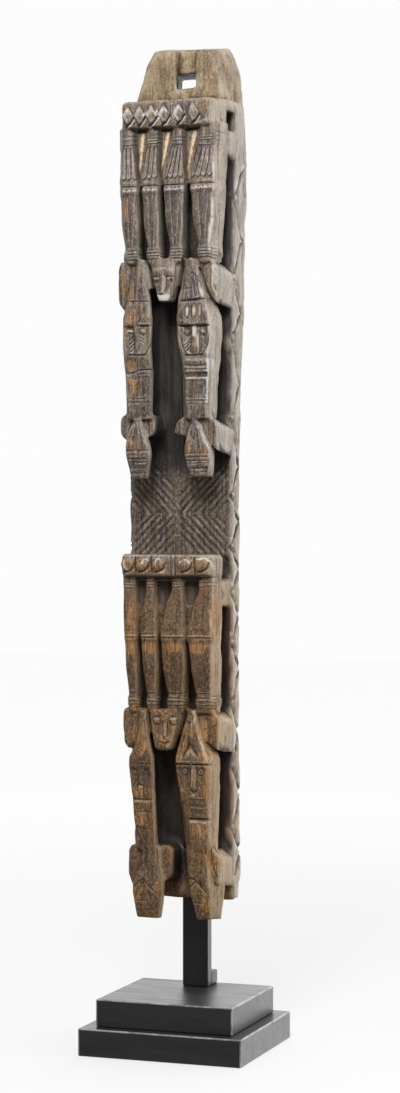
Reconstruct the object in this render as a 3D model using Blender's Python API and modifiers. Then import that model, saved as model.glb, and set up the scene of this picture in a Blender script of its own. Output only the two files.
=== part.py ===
"""Carved wooden house post on a stepped black stand.

The post is hewn from one log: a thick back board ending in a pierced tenon, and in front of it
two tiers of figures that stand free of the board on short bridges.  Each tier has four legs
under a bar, a yoke with an animal's head, two long heads and two small heads under them.
Metres, +Z up, the front looks along -Y, origin at the middle of the stand's underside.
"""
import math

import bmesh
import bpy
from mathutils import Matrix, Vector

# Stand: two stacked tiers, a flat bar behind the post and the block at the bar's foot.
GAP = 0.0003                       # between pieces that touch
TIER_HEIGHT = 0.040
LOWER_TIER = (0.250, 0.230)
UPPER_TIER = (0.210, 0.190)
TIER_EDGE = 0.0012                 # width of the bevel on every edge of the stand
BAR_WIDTH = 0.040
BAR_DEPTH = 0.018
BAR_CENTRE_X = -0.004
BAR_FRONT_Y = 0.051
BAR_TOP_Z = 0.960
FOOT_BLOCK_HEIGHT = 0.020

# Depths of the post's layers.
GROUP_FRONT = -0.074               # front faces of the figures
GROUP_BACK = -0.045                # backs of the long heads, front of the open slot
LEG_BACK = -0.046
SMALL_HEAD_BACK = -0.047
ANIMAL_BACK = -0.049
BOARD_FRONT = -0.017               # carved face of the back board, back of the slot
BOARD_BACK = BAR_FRONT_Y - GAP     # flat seat along the middle of the back
SEAT_HALF = 0.024
ROUND_SHARE = 0.35                 # where the rounded back breaks, as a share of the width
INTO_BOARD = BOARD_FRONT + 0.006   # how far the bridges run into the board
OVERLAP = 0.004                    # how far pieces of one carving run into each other

POST_BOTTOM = 0.2225
POST_TOP = 1.4770

# Back board: height, left side, right side at its front and at its back, depth of the sides'
# back edge.
BOARD_STATIONS = (
    (POST_BOTTOM, -0.0740, 0.0785, 0.0765, 0.016),
    (0.262, -0.0750, 0.0800, 0.0805, 0.016),
    (0.310, -0.0760, 0.0785, 0.0795, 0.016),
    (0.430, -0.0810, 0.0778, 0.0772, 0.017),
    (0.660, -0.0830, 0.0775, 0.0768, 0.020),
    (0.810, -0.0830, 0.0775, 0.0760, 0.022),
    (0.970, -0.0830, 0.0778, 0.0775, 0.025),
    (1.050, -0.0840, 0.0780, 0.0800, 0.027),
    (1.220, -0.0850, 0.0812, 0.0825, 0.032),
    (1.300, -0.0850, 0.0838, 0.0832, 0.034),
    (1.345, -0.0840, 0.0832, 0.0828, 0.034),
    (1.388, -0.0800, 0.0815, 0.0805, 0.034),
)
BOARD_EDGE = 0.004                 # chamfer along the board's front corners

# Tenon on top, thicker than the board: height, left side, right side at front and back.
TENON_FRONT = -0.038
TENON_SIDE_BACK = 0.031
TENON_STATIONS = (
    (1.3735, -0.0715, 0.0790, 0.0810),
    (1.398, -0.0640, 0.0750, 0.0795),
    (1.424, -0.0555, 0.0690, 0.0770),
    (1.445, -0.0488, 0.0630, 0.0725),
    (1.463, -0.0395, 0.0575, 0.0655),
    (POST_TOP, -0.0310, 0.0540, 0.0580),
)
# The end is sawn level behind and slopes down to these heights at its front corners.
END_FRONT_LEFT, END_FRONT_RIGHT = 1.4658, 1.4628
END_SLOPE = 0.215                  # rise per depth

# Peg hole through the tenon and the channel above it.
HOLE_BOTTOM, HOLE_TOP = 1.4085, 1.4300
HOLE_LEFT, HOLE_RIGHT = -0.001, 0.029
HOLE_FLARE = 0.026                 # how much wider the hole is on its left at the back
HOLE_RISE = 0.0090                 # how much higher the hole is at the back
CHANNEL_DEPTH = 0.012

# The bands that carry the legs.
TOP_BAND = (1.348, 1.388)          # lozenge band, bottom and top
TOP_BRIDGE = (1.312, 1.352)
SIDE_HOLE = (1.343, 1.372)         # lashing hole that runs from side to side behind the band
LOW_BAND = (0.696, 0.728)
LOW_BRIDGE = (0.651, 0.693)
# Thin wood left between the legs above their belts: front, back, bottom of each tier's.
LEG_WEB = (-0.0570, -0.0475)
LEG_WEB_BOTTOMS = (1.266, 0.612)
BAND_LEFT, BAND_RIGHT = -0.074, 0.0655
BAND_CORNER = 0.006
BAND_UNDER_ROUND = (0.004, 0.0015)  # rounding of a band's lower edges: height and depth
BAND_UPPER_ROUND = (0.006, 0.0030)  # the same of its upper edges
TOP_BRIDGE_FRONT = -0.058
LOW_BRIDGE_FRONT = -0.052
LOW_ROOT_FRONT = -0.062
LOW_BAND_PROUD = 0.002             # how far the low band stands out in front of the legs
BRIDGE_DROP = 0.011                # how much lower a bridge's underside is at the board
# How far a band spreads to the left and to the right, and at what depth.
TOP_BAND_SIDES = ((0.0085, 0.0143, GROUP_BACK), (0.0103, 0.0176, INTO_BOARD))
LOW_BAND_SIDES = ((0.0070, 0.0080, GROUP_BACK),)
LOW_BRIDGE_SIDES = ((0.0040, 0.0040, GROUP_BACK), (0.0084, 0.0112, INTO_BOARD))
LOW_ROOT_SIDES = ((0.0050, 0.0050, GROUP_BACK - 0.002),)

# Legs: collar, widest part and ankle, each as its left and right edge.
UPPER_LEGS = (
    ((-0.0765, -0.0545), (-0.0765, -0.0500), (-0.0695, -0.0490)),
    ((-0.0385, -0.0165), (-0.0455, -0.0175), (-0.0370, -0.0150)),
    ((0.0005, 0.0220), (-0.0115, 0.0230), (-0.0015, 0.0205)),
    ((0.0410, 0.0735), (0.0295, 0.0690), (0.0420, 0.0640)),
)
LOWER_LEGS = (
    ((-0.0750, -0.0535), (-0.0730, -0.0515), (-0.0660, -0.0490)),
    ((-0.0400, -0.0230), (-0.0475, -0.0200), (-0.0370, -0.0195)),
    ((0.0005, 0.0200), (-0.0165, 0.0230), (-0.0055, 0.0230)),
    ((0.0420, 0.0665), (0.0250, 0.0660), (0.0385, 0.0650)),
)
# Down a leg: height, place between collar 0, widest 1 and ankle 2, swelling of the sides,
# set-back of the front face, depth of the flutes that only the upper tier has.
UPPER_LEG_RINGS = (
    (1.352, 0.0, 0.0, 0.006, 0.0),
    (1.3225, 0.0, 0.0, 0.005, 0.0),
    (1.3215, 0.0, -0.0010, 0.006, 0.0006),
    (1.2725, 0.92, 0.0, 0.001, 0.0016),
    (1.2715, 0.92, -0.0005, 0.004, 0.0),
    (1.2530, 1.0, 0.0003, 0.002, 0.0),
    (1.2515, 1.0, -0.0010, 0.003, 0.0),
    (1.210, 1.5, 0.0008, 0.002, 0.0),
    (1.1725, 2.0, -0.0010, 0.0035, 0.0),
    (1.1715, 2.0, 0.0008, 0.0015, 0.0),
    (1.1585, 2.0, 0.0010, 0.0015, 0.0),
    (1.1575, 2.0, -0.0010, 0.0035, 0.0),
    (1.150, 2.0, -0.0010, 0.004, 0.0),
)
LOWER_LEG_RINGS = (
    (0.700, 0.0, 0.0, 0.008, 0.0),
    (0.6785, 0.0, 0.0, 0.006, 0.0),
    (0.6775, 0.0, -0.0010, 0.0065, 0.0),
    (0.656, 0.50, 0.0, 0.005, 0.0),
    (0.6185, 0.95, 0.0003, 0.002, 0.0),
    (0.6025, 1.05, 0.0003, 0.002, 0.0),
    (0.6010, 1.05, -0.0010, 0.003, 0.0),
    (0.560, 1.5, 0.0008, 0.0035, 0.0),
    (0.5205, 2.0, -0.0010, 0.0045, 0.0),
    (0.5195, 2.0, 0.0008, 0.003, 0.0),
    (0.5070, 2.0, 0.0008, 0.003, 0.0),
    (0.5060, 2.0, -0.0010, 0.0045, 0.0),
    (0.498, 2.0, -0.0010, 0.005, 0.0),
)
FLUTES = 3
EDGE_WIDTH, EDGE_DEPTH = 0.0050, 0.0080    # rounding of the front corners of legs and heads
UPPER_SLANT, LOWER_SLANT = 0.0105, 0.0070  # the outermost sides spread towards the slot

# Heads, down from the hat's peak: height, left, right, how far the left and the right side
# spread towards the slot (a side that tapers there has a minus), set-back of the front.
UPPER_HEAD_LEFT = (
    (1.157, -0.0490, -0.0390, 0.001, -0.003, 0.004),
    (1.126, -0.0610, -0.0370, 0.003, -0.008, 0.003),
    (1.097, -0.0680, -0.0290, 0.006, -0.008, 0.001),
    (1.071, -0.0735, -0.0270, 0.009, -0.008, -0.001),
    (1.040, -0.0735, -0.0280, 0.009, -0.008, -0.001),
    (1.007, -0.0720, -0.0275, 0.008, -0.008, 0.001),
    (0.984, -0.0705, -0.0275, 0.007, -0.008, 0.003),
    (0.952, -0.0690, -0.0280, 0.006, -0.008, 0.002),
    (0.924, -0.0685, -0.0280, 0.006, -0.008, 0.002),
)
UPPER_HEAD_RIGHT = (
    (1.157, 0.0280, 0.0370, 0.001, 0.001, 0.004),
    (1.126, 0.0175, 0.0465, 0.003, 0.003, 0.003),
    (1.097, 0.0120, 0.0555, 0.004, 0.006, 0.001),
    (1.071, 0.0105, 0.0620, 0.005, 0.010, -0.001),
    (1.040, 0.0120, 0.0625, 0.006, 0.010, -0.001),
    (1.007, 0.0180, 0.0605, 0.009, 0.009, 0.001),
    (0.984, 0.0220, 0.0600, 0.012, 0.008, 0.003),
    (0.952, 0.0235, 0.0600, 0.014, 0.006, 0.002),
    (0.924, 0.0235, 0.0595, 0.014, 0.005, 0.002),
)
LOWER_HEAD_LEFT = (
    (0.503, -0.0460, -0.0385, 0.001, -0.003, 0.004),
    (0.474, -0.0510, -0.0340, 0.002, -0.008, 0.003),
    (0.451, -0.0550, -0.0305, 0.003, -0.008, 0.002),
    (0.432, -0.0640, -0.0245, 0.006, -0.008, 0.000),
    (0.420, -0.0640, -0.0235, 0.007, -0.008, 0.000),
    (0.370, -0.0585, -0.0225, 0.007, -0.008, 0.001),
    (0.298, -0.0530, -0.0195, 0.006, -0.008, 0.003),
)
LOWER_HEAD_RIGHT = (
    (0.503, 0.0300, 0.0375, 0.001, 0.001, 0.004),
    (0.474, 0.0185, 0.0460, 0.002, 0.003, 0.003),
    (0.451, 0.0125, 0.0530, 0.003, 0.006, 0.002),
    (0.432, 0.0080, 0.0600, 0.005, 0.010, 0.000),
    (0.420, 0.0090, 0.0610, 0.006, 0.010, 0.000),
    (0.385, 0.0145, 0.0615, 0.008, 0.009, 0.000),
    (0.345, 0.0220, 0.0610, 0.012, 0.007, 0.002),
    (0.298, 0.0305, 0.0610, 0.018, 0.005, 0.003),
)
UPPER_SMALL_LEFT = (
    (0.928, -0.0515, -0.0455, 0.001, -0.003, 0.003),
    (0.905, -0.0660, -0.0370, 0.003, -0.008, 0.001),
    (0.885, -0.0700, -0.0300, 0.003, -0.008, 0.000),
    (0.872, -0.0695, -0.0280, 0.003, -0.008, 0.001),
    (0.838, -0.0625, -0.0345, 0.002, -0.008, 0.006),
)
UPPER_SMALL_RIGHT = (
    (0.925, 0.0330, 0.0400, 0.001, -0.001, 0.003),
    (0.905, 0.0255, 0.0520, 0.002, -0.001, 0.001),
    (0.879, 0.0215, 0.0630, 0.002, -0.001, 0.000),
    (0.866, 0.0230, 0.0630, 0.002, -0.001, 0.001),
    (0.840, 0.0290, 0.0610, 0.001, -0.001, 0.006),
)
LOWER_SMALL_LEFT = (
    (0.302, -0.0440, -0.0150, 0.004, -0.006, 0.004),
    (0.270, -0.0490, -0.0130, 0.005, -0.006, 0.002),
    (0.248, -0.0580, -0.0090, 0.005, -0.006, 0.000),
    (0.236, -0.0580, -0.0095, 0.005, -0.006, 0.000),
    (0.198, -0.0540, -0.0150, 0.003, -0.006, 0.005),
)
LOWER_SMALL_RIGHT = (
    (0.302, 0.0250, 0.0600, 0.003, 0.004, 0.004),
    (0.270, 0.0260, 0.0625, 0.003, 0.008, 0.002),
    (0.247, 0.0290, 0.0655, 0.003, 0.013, 0.000),
    (0.236, 0.0310, 0.0655, 0.003, 0.012, 0.000),
    (0.199, 0.0410, 0.0645, 0.002, 0.008, 0.005),
)
ANIMAL_UPPER = (
    (1.157, -0.0330, 0.0110, 0.002, 0.002, 0.003),
    (1.128, -0.0260, 0.0075, 0.003, 0.003, -0.001),
    (1.105, -0.0195, 0.0045, 0.003, 0.003, -0.004),
    (1.094, -0.0160, 0.0020, 0.002, 0.002, -0.004),
)
ANIMAL_LOWER = (
    (0.5025, -0.0330, 0.0175, 0.002, 0.002, 0.003),
    (0.480, -0.0290, 0.0120, 0.003, 0.003, 0.000),
    (0.456, -0.0240, 0.0060, 0.003, 0.003, -0.004),
    (0.444, -0.0205, 0.0020, 0.002, 0.002, -0.004),
)

# Yokes and brackets: outlines seen from the front, x and z, right part last.
UPPER_YOKE = (
    (-0.079, 1.156), (-0.082, 1.146), (-0.082, 1.096), (-0.076, 1.088), (-0.066, 1.092),
    (-0.052, 1.118), (-0.016, 1.112), (0.000, 1.112), (0.036, 1.126), (0.0395, 1.145),
    (0.0435, 1.145), (0.0508, 1.124), (0.0595, 1.102), (0.0690, 1.091), (0.0720, 1.142),
    (0.060, 1.156),
)
LOWER_YOKE = (
    (-0.072, 0.504), (-0.075, 0.496), (-0.074, 0.454), (-0.067, 0.444), (-0.058, 0.450),
    (-0.048, 0.470), (-0.016, 0.462), (0.000, 0.462), (0.034, 0.470), (0.0372, 0.493),
    (0.0405, 0.493), (0.0440, 0.476), (0.0508, 0.459), (0.0700, 0.444), (0.0720, 0.490),
    (0.060, 0.504),
)
UPPER_BRACKET_LEFT = (
    (-0.075, 0.932), (-0.079, 0.926), (-0.079, 0.904), (-0.073, 0.896), (-0.050, 0.900),
    (-0.031, 0.900), (-0.026, 0.908), (-0.027, 0.930),
)
UPPER_BRACKET_RIGHT = (
    (0.018, 0.928), (0.008, 0.920), (0.004, 0.904), (0.026, 0.898), (0.047, 0.900),
    (0.0555, 0.895), (0.0650, 0.883), (0.0712, 0.877), (0.0715, 0.916), (0.062, 0.926),
)
LOWER_BRACKET_LEFT = (
    (-0.062, 0.304), (-0.066, 0.296), (-0.067, 0.262), (-0.061, 0.246), (-0.036, 0.252),
    (-0.010, 0.252), (0.001, 0.262), (0.002, 0.298), (-0.004, 0.304),
)
LOWER_BRACKET_RIGHT = (
    (0.024, 0.304), (0.022, 0.298), (0.026, 0.250), (0.050, 0.262), (0.0570, 0.262),
    (0.0650, 0.253), (0.0725, 0.250), (0.0730, 0.290), (0.062, 0.304),
)
YOKE_FRONT = -0.063
# Dark gaps cut into the yokes between the hats and the animals' heads: top and bottom.
YOKE_GAPS = (
    ((-0.0360, 1.159), (-0.0240, 1.098)), ((0.0195, 1.159), (0.0085, 1.100)),
    ((-0.0357, 0.507), (-0.0270, 0.452)), ((0.0235, 0.507), (0.0090, 0.450)),
)
GAP_WIDTH, GAP_DEPTH = 0.0065, 0.020
BRACKET_SPREAD = 0.010             # outer ends run outwards and downwards towards the board
BRACKET_DROP = 0.008

# Carving.
HERRINGBONE = (0.712, 0.860)       # bottom and top of the panel on the board's face
HERRINGBONE_CENTRE = (-0.009, 0.787)
HERRINGBONE_PITCH = 0.0125
HERRINGBONE_ANGLE = math.radians(47.0)
# Corners of the zigzag down the board's sides, from the top; the first one is at the back.
ZIGZAG = (1.293, 1.250, 1.189, 1.134, 1.082, 1.046, 0.977, 0.928, 0.857, 0.815, 0.775, 0.740,
          0.705, 0.672, 0.638, 0.600, 0.558, 0.511, 0.466, 0.420, 0.375, 0.330, 0.290, 0.256)
ZIGZAG_FRONT = BOARD_FRONT + 0.008
ZIGZAG_BACK = BOARD_FRONT + 0.031
ZIGZAG_WIDTH, ZIGZAG_DEPTH = 0.0085, 0.0050
ZIGZAG_BREAK = 0.0012              # half the wood left standing between two strokes
GOUGE_WIDTH, GOUGE_DEPTH = 0.005, 0.0028
GOUGE_LIFT = 0.0015                # how far a gouge's cutter stands out of the surface
LOZENGES = (-0.0640, -0.0455, -0.0275, -0.0080, 0.0150, 0.0375)
LOZENGE_SIZE = (0.0092, 0.0150)    # half its width and half its height
LOZENGE_MIDDLE = 1.3665
LOZENGE_HEIGHT = 0.0035
BOSS_SINK = 0.0010                 # how deep the foot of a raised ornament is sunk
HAT_NOTCHES = (                    # x and z of the middle, height
    (-0.0553, 0.8975, 0.012), (0.0365, 0.899, 0.012), (0.0305, 0.452, 0.014),
    (-0.0410, 0.249, 0.014), (0.0490, 0.252, 0.012),
)
JAW_RISE = 0.25                    # how much higher the jaw ends at the cheeks, of the face
CHIN_DEPTH = 0.45                  # how deep a face is sunk at the chin, of the depth at the brow
OVALS = (-0.0625, -0.0390, -0.0125, 0.0265, 0.0500)
# Eyes: x and z of the middle between them, and half their distance.
EYES = ((-0.0500, 1.0510, 0.0105), (0.0370, 1.0510, 0.0120), (-0.0440, 0.4090, 0.0090),
        (0.0350, 0.4130, 0.0120))
ANIMAL_EYES = ((-0.0100, 1.1260, 0.0100), (-0.0080, 0.4860, 0.0115))
BAR_SLITS = (0.0005, 0.0115)       # upright slits either side of the low band's middle post

WOOD_COLOUR = (0.115, 0.080, 0.052, 1.0)
BLACK_COLOUR = (0.012, 0.012, 0.013, 1.0)


def clear_scene():
    """Remove what a new file starts with, so that only the object is left."""
    for item in list(bpy.data.objects):
        bpy.data.objects.remove(item, do_unlink=True)


def new_collection(name):
    """Make a collection under the scene."""
    collection = bpy.data.collections.new(name)
    bpy.context.scene.collection.children.link(collection)
    return collection


def new_material(name, colour, roughness, metallic=0.0):
    """A plain Principled material."""
    material = bpy.data.materials.new(name)
    material.use_nodes = True
    shader = material.node_tree.nodes["Principled BSDF"]
    shader.inputs["Base Color"].default_value = colour
    shader.inputs["Roughness"].default_value = roughness
    shader.inputs["Metallic"].default_value = metallic
    material.diffuse_color = colour
    return material


def add_object(name, shape, collection):
    """Turn a bmesh into an object of the collection."""
    bmesh.ops.recalc_face_normals(shape, faces=shape.faces)
    mesh = bpy.data.meshes.new(name)
    shape.to_mesh(mesh)
    shape.free()
    item = bpy.data.objects.new(name, mesh)
    collection.objects.link(item)
    return item


def loft(name, rings, collection):
    """Close a skin of flat triangles over rings that all have the same number of points."""
    shape = bmesh.new()
    rows = [[shape.verts.new(point) for point in ring] for ring in rings]
    count = len(rows[0])
    for row, following in zip(rows, rows[1:]):
        for i in range(count):
            j = (i + 1) % count
            shape.faces.new((row[i], row[j], following[j], following[i]))
    shape.faces.new(rows[0])
    shape.faces.new(rows[-1])
    # Flat triangles, because a Boolean needs faces that are truly plane.
    shape.normal_update()
    bmesh.ops.triangulate(shape, faces=shape.faces)
    return add_object(name, shape, collection)


def block(name, low, high, collection):
    """A box between two corners."""
    low, high = Vector(low), Vector(high)
    size = high - low
    place = Matrix.Translation((low + high) / 2) @ Matrix.Diagonal((*size, 1.0))
    shape = bmesh.new()
    bmesh.ops.create_cube(shape, size=1.0, matrix=place)
    return add_object(name, shape, collection)


def boss(name, centre, half_width, half_height, rise, sides, collection, sharp=False):
    """A raised lozenge, oval or eye; the half sizes are those at the surface it stands on."""
    depth = rise + BOSS_SINK
    top = 0.12 if sharp else 0.6
    shape = bmesh.new()
    bmesh.ops.create_cone(shape, cap_ends=True, segments=sides,
                          radius1=top + (1.0 - top) * depth / rise, radius2=top, depth=depth)
    stretch = Matrix.Diagonal((half_width, half_height, 1.0, 1.0))
    turn = Matrix.Rotation(math.radians(90.0), 4, "X")
    sunk = Vector((centre[0], centre[1] - rise + depth / 2, centre[2]))
    bmesh.ops.transform(shape, matrix=Matrix.Translation(sunk) @ turn @ stretch, verts=shape.verts)
    return add_object(name, shape, collection)


def gouge(name, start, end, normal, width, depth, collection):
    """A boat-shaped V cut along a surface, cut by an inverted roof whose keel is shorter."""
    start, end, normal = Vector(start), Vector(end), Vector(normal).normalized()
    along = (end - start).normalized()
    side = normal.cross(along) * width / 2 * (1 + GOUGE_LIFT / depth)
    lift = normal * GOUGE_LIFT
    keel = along * min(depth, (end - start).length / 3)
    shape = bmesh.new()
    top = [shape.verts.new(start + side + lift), shape.verts.new(start - side + lift),
           shape.verts.new(end - side + lift), shape.verts.new(end + side + lift)]
    low = [shape.verts.new(start + keel - normal * depth),
           shape.verts.new(end - keel - normal * depth)]
    shape.faces.new(top)
    shape.faces.new((top[0], top[1], low[0]))
    shape.faces.new((top[2], top[3], low[1]))
    shape.faces.new((top[1], top[2], low[1], low[0]))
    shape.faces.new((top[3], top[0], low[0], low[1]))
    return add_object(name, shape, collection)


def mixed(spans, place):
    """Left and right edge between the spans of collar 0, widest part 1 and ankle 2."""
    first = min(int(place), len(spans) - 2)
    share = place - first
    return [a + (b - a) * share for a, b in zip(spans[first], spans[first + 1])]


def rounded_section(fronts, left, right, back, slants, edge, height):
    """Close a row of front points with rounded corners, slanting sides and a plain back."""
    front = fronts[0][1]
    depth = edge / EDGE_WIDTH * EDGE_DEPTH
    return fronts + [
        (right - edge * 0.25, front + depth * 0.35, height), (right, front + depth, height),
        (right + slants[1], back, height), (left - slants[0], back, height),
        (left, front + depth, height), (left + edge * 0.25, front + depth * 0.35, height),
    ]


def leg_ring(left, right, front, flutes, depth, slants, height):
    """Section of a leg, with a number of flutes across its front."""
    inner_left, inner_right = left + EDGE_WIDTH, right - EDGE_WIDTH
    steps = max(1, 2 * flutes)
    fluted = []
    for i in range(steps + 1):
        x = inner_left + (inner_right - inner_left) * i / steps
        fluted.append((x, front + (depth if i % 2 and flutes else 0.0), height))
    return rounded_section(fluted, left, right, LEG_BACK, slants, EDGE_WIDTH, height)


def make_legs(tier, legs, rings, flutes, slant, forms):
    """Four legs of one tier; the outermost sides slant outwards."""
    for number, spans in enumerate(legs):
        slants = (slant if number == 0 else 0.0, slant if number == 3 else 0.0)
        sections = []
        for height, place, swell, back, depth in rings:
            left, right = mixed(spans, place)
            sections.append(leg_ring(left - swell, right + swell, GROUP_FRONT + back, flutes,
                                     depth, slants, height))
        loft(f"{tier}_leg_{number + 1}", sections, forms)


def make_head(name, stations, back, forms):
    """A hatted head: a tapering block with rounded front corners and slanting sides."""
    sections = []
    for height, left, right, slant_left, slant_right, set_back in stations:
        front = GROUP_FRONT + set_back
        edge = min(EDGE_WIDTH, (right - left) / 3)
        fronts = [(left + edge, front, height), (right - edge, front, height)]
        sections.append(rounded_section(fronts, left, right, back, (slant_left, slant_right),
                                        edge, height))
    loft(name, sections, forms)


def make_yoke(name, outline, forms):
    """A bridge to the board; its outer ends spread and drop on their way back."""
    middle = sum(x for x, z in outline) / len(outline)
    reach = max(abs(x - middle) for x, z in outline)
    front, back = [], []
    for x, z in outline:
        share = (x - middle) / reach
        outer = abs(x - BAR_CENTRE_X) > 0.055
        front.append((x, YOKE_FRONT, z))
        back.append((x + (BRACKET_SPREAD * share if outer else 0.0), INTO_BOARD,
                     z - (BRACKET_DROP if outer else 0.0)))
    loft(name, (front, back), forms)


def make_board(collection):
    """The back board: flat carved face, nearly straight sides and a rounded back."""
    rings = [log_ring(height, left, right_front, right_back, BOARD_FRONT, side_back)
             for height, left, right_front, right_back, side_back in BOARD_STATIONS]
    return loft("carved_column", rings, collection)


def log_ring(height, left, right_front, right_back, front, side_back):
    """Section of the board or tenon: flat front, chamfered corners, round back with a seat."""
    middle = (left + right_back) / 2
    bulge = side_back + (BOARD_BACK - side_back) * 0.65
    spread = ROUND_SHARE * (right_back - left)
    return [
        (left + BOARD_EDGE, front, height), (right_front - BOARD_EDGE, front, height),
        (right_front, front + BOARD_EDGE, height), (right_back, side_back, height),
        (middle + spread, bulge, height), (BAR_CENTRE_X + SEAT_HALF, BOARD_BACK, height),
        (BAR_CENTRE_X - SEAT_HALF, BOARD_BACK, height), (middle - spread, bulge, height),
        (left, side_back, height), (left, front + BOARD_EDGE, height),
    ]


def make_band(name, low, high, front, sides, forms, drop=0.0):
    """A cross band with rounded edges; sides gives how far it spreads at each depth."""
    rings = []
    under, under_inset = BAND_UNDER_ROUND
    upper, upper_inset = BAND_UPPER_ROUND
    for height, inset in ((low, under_inset), (low + under, 0.0), (high - upper, 0.0),
                          (high, upper_inset)):
        ring = [(BAND_LEFT + BAND_CORNER, front + inset, height),
                (BAND_RIGHT - BAND_CORNER, front + inset, height),
                (BAND_RIGHT - inset, front + BAND_CORNER, height)]
        behind = [(to_left, to_right, y, height - (drop if height == low and y > GROUP_BACK else 0))
                  for to_left, to_right, y in sides]
        ring += [(BAND_RIGHT + to_right - inset, y, z) for to_left, to_right, y, z in behind]
        ring += [(BAND_LEFT - to_left + inset, y, z) for to_left, to_right, y, z in behind[::-1]]
        ring.append((BAND_LEFT + inset, front + BAND_CORNER, height))
        rings.append(ring)
    loft(name, rings, forms)


def make_forms(forms):
    """Every raised form in front of the board."""
    loft("tenon", [log_ring(*station, TENON_FRONT, TENON_SIDE_BACK)
                   for station in TENON_STATIONS], forms)
    make_band("lozenge_band", *TOP_BAND, GROUP_FRONT, TOP_BAND_SIDES, forms)
    make_band("top_bridge", *TOP_BRIDGE, TOP_BRIDGE_FRONT, TOP_BAND_SIDES, forms, BRIDGE_DROP)
    make_band("low_band", *LOW_BAND, GROUP_FRONT - LOW_BAND_PROUD, LOW_BAND_SIDES, forms)
    make_band("low_bridge", *LOW_BRIDGE, LOW_BRIDGE_FRONT, LOW_BRIDGE_SIDES, forms)
    make_band("low_band_root", LOW_BRIDGE[1] - OVERLAP, LOW_BAND[0] + OVERLAP, LOW_ROOT_FRONT,
              LOW_ROOT_SIDES, forms)
    for bottom, top in zip(LEG_WEB_BOTTOMS, (TOP_BRIDGE[0], LOW_BRIDGE[0])):
        block("leg_web", (-0.060, LEG_WEB[0], bottom), (0.050, LEG_WEB[1], top + OVERLAP), forms)
    make_legs("upper", UPPER_LEGS, UPPER_LEG_RINGS, FLUTES, UPPER_SLANT, forms)
    make_legs("lower", LOWER_LEGS, LOWER_LEG_RINGS, 0, LOWER_SLANT, forms)
    make_yoke("upper_yoke", UPPER_YOKE, forms)
    make_yoke("lower_yoke", LOWER_YOKE, forms)
    make_yoke("upper_bracket_left", UPPER_BRACKET_LEFT, forms)
    make_yoke("upper_bracket_right", UPPER_BRACKET_RIGHT, forms)
    make_yoke("lower_bracket_left", LOWER_BRACKET_LEFT, forms)
    make_yoke("lower_bracket_right", LOWER_BRACKET_RIGHT, forms)
    make_head("upper_head_left", UPPER_HEAD_LEFT, GROUP_BACK, forms)
    make_head("upper_head_right", UPPER_HEAD_RIGHT, GROUP_BACK, forms)
    make_head("lower_head_left", LOWER_HEAD_LEFT, GROUP_BACK, forms)
    make_head("lower_head_right", LOWER_HEAD_RIGHT, GROUP_BACK, forms)
    make_head("upper_small_left", UPPER_SMALL_LEFT, SMALL_HEAD_BACK, forms)
    make_head("upper_small_right", UPPER_SMALL_RIGHT, SMALL_HEAD_BACK, forms)
    make_head("lower_small_left", LOWER_SMALL_LEFT, SMALL_HEAD_BACK, forms)
    make_head("lower_small_right", LOWER_SMALL_RIGHT, SMALL_HEAD_BACK, forms)
    make_head("upper_animal", ANIMAL_UPPER, ANIMAL_BACK, forms)
    make_head("lower_animal", ANIMAL_LOWER, ANIMAL_BACK, forms)


def cut_tenon(cuts):
    """Peg hole, channel and the slope of the tenon's end."""
    rings = []
    for y, flare, rise in ((TENON_FRONT - 0.010, -0.003, 0.0),
                           (BOARD_BACK + 0.010, HOLE_FLARE, HOLE_RISE)):
        rings.append([(HOLE_LEFT - flare, y, HOLE_BOTTOM), (HOLE_RIGHT, y, HOLE_BOTTOM),
                      (HOLE_RIGHT, y, HOLE_TOP + rise), (HOLE_LEFT - flare, y, HOLE_TOP + rise)])
    loft("peg_hole", rings, cuts)
    block("peg_channel", (HOLE_LEFT + 0.0005, TENON_FRONT - 0.010, HOLE_TOP - 0.006),
          (HOLE_RIGHT - 0.0005, TENON_FRONT + CHANNEL_DEPTH, POST_TOP + 0.010), cuts)
    left, right = TENON_STATIONS[-1][1:3]
    rings = []
    for x in (-0.100, 0.120):
        share = (x - left) / (right - left)
        height = END_FRONT_LEFT + (END_FRONT_RIGHT - END_FRONT_LEFT) * share
        rise = (TENON_SIDE_BACK + 0.010 - TENON_FRONT) * END_SLOPE
        rings.append([(x, TENON_FRONT - 0.010, height - 0.010 * END_SLOPE),
                      (x, TENON_SIDE_BACK + 0.010, height + rise),
                      (x, TENON_SIDE_BACK + 0.010, POST_TOP + 0.020),
                      (x, TENON_FRONT - 0.010, POST_TOP + 0.020)])
    loft("tenon_end", rings, cuts)
    block("lashing_hole", (-0.150, GROUP_BACK + 0.001, SIDE_HOLE[0]),
          (0.150, BOARD_FRONT - 0.001, SIDE_HOLE[1]), cuts)


def cut_herringbone(cuts):
    """Four fields of slanting gouges that meet at the middle of the panel."""
    middle_x, middle_z = HERRINGBONE_CENTRE
    edge_left, edge_right = BOARD_STATIONS[5][1] + 0.006, BOARD_STATIONS[5][2] - 0.006
    slope = math.tan(HERRINGBONE_ANGLE)
    for side, edge in ((-1, edge_left), (1, edge_right)):
        reach = abs(edge - middle_x)
        for up in (-1, 1):
            far = HERRINGBONE[1] if up > 0 else HERRINGBONE[0]
            height = abs(far - middle_z)
            for step in range(9):
                # Each gouge runs outwards and away from the middle line, from its own start.
                start_z = step * HERRINGBONE_PITCH - reach * slope + 0.008
                near_x = max(0.003, -start_z / slope)
                far_x = min(reach, (height - start_z) / slope)
                if far_x - near_x < 0.012:
                    continue
                points = [(middle_x + side * x, BOARD_FRONT, middle_z + up * (start_z + slope * x))
                          for x in (near_x, far_x)]
                gouge("herringbone", *points, (0, -1, 0), GOUGE_WIDTH, GOUGE_DEPTH, cuts)


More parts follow.
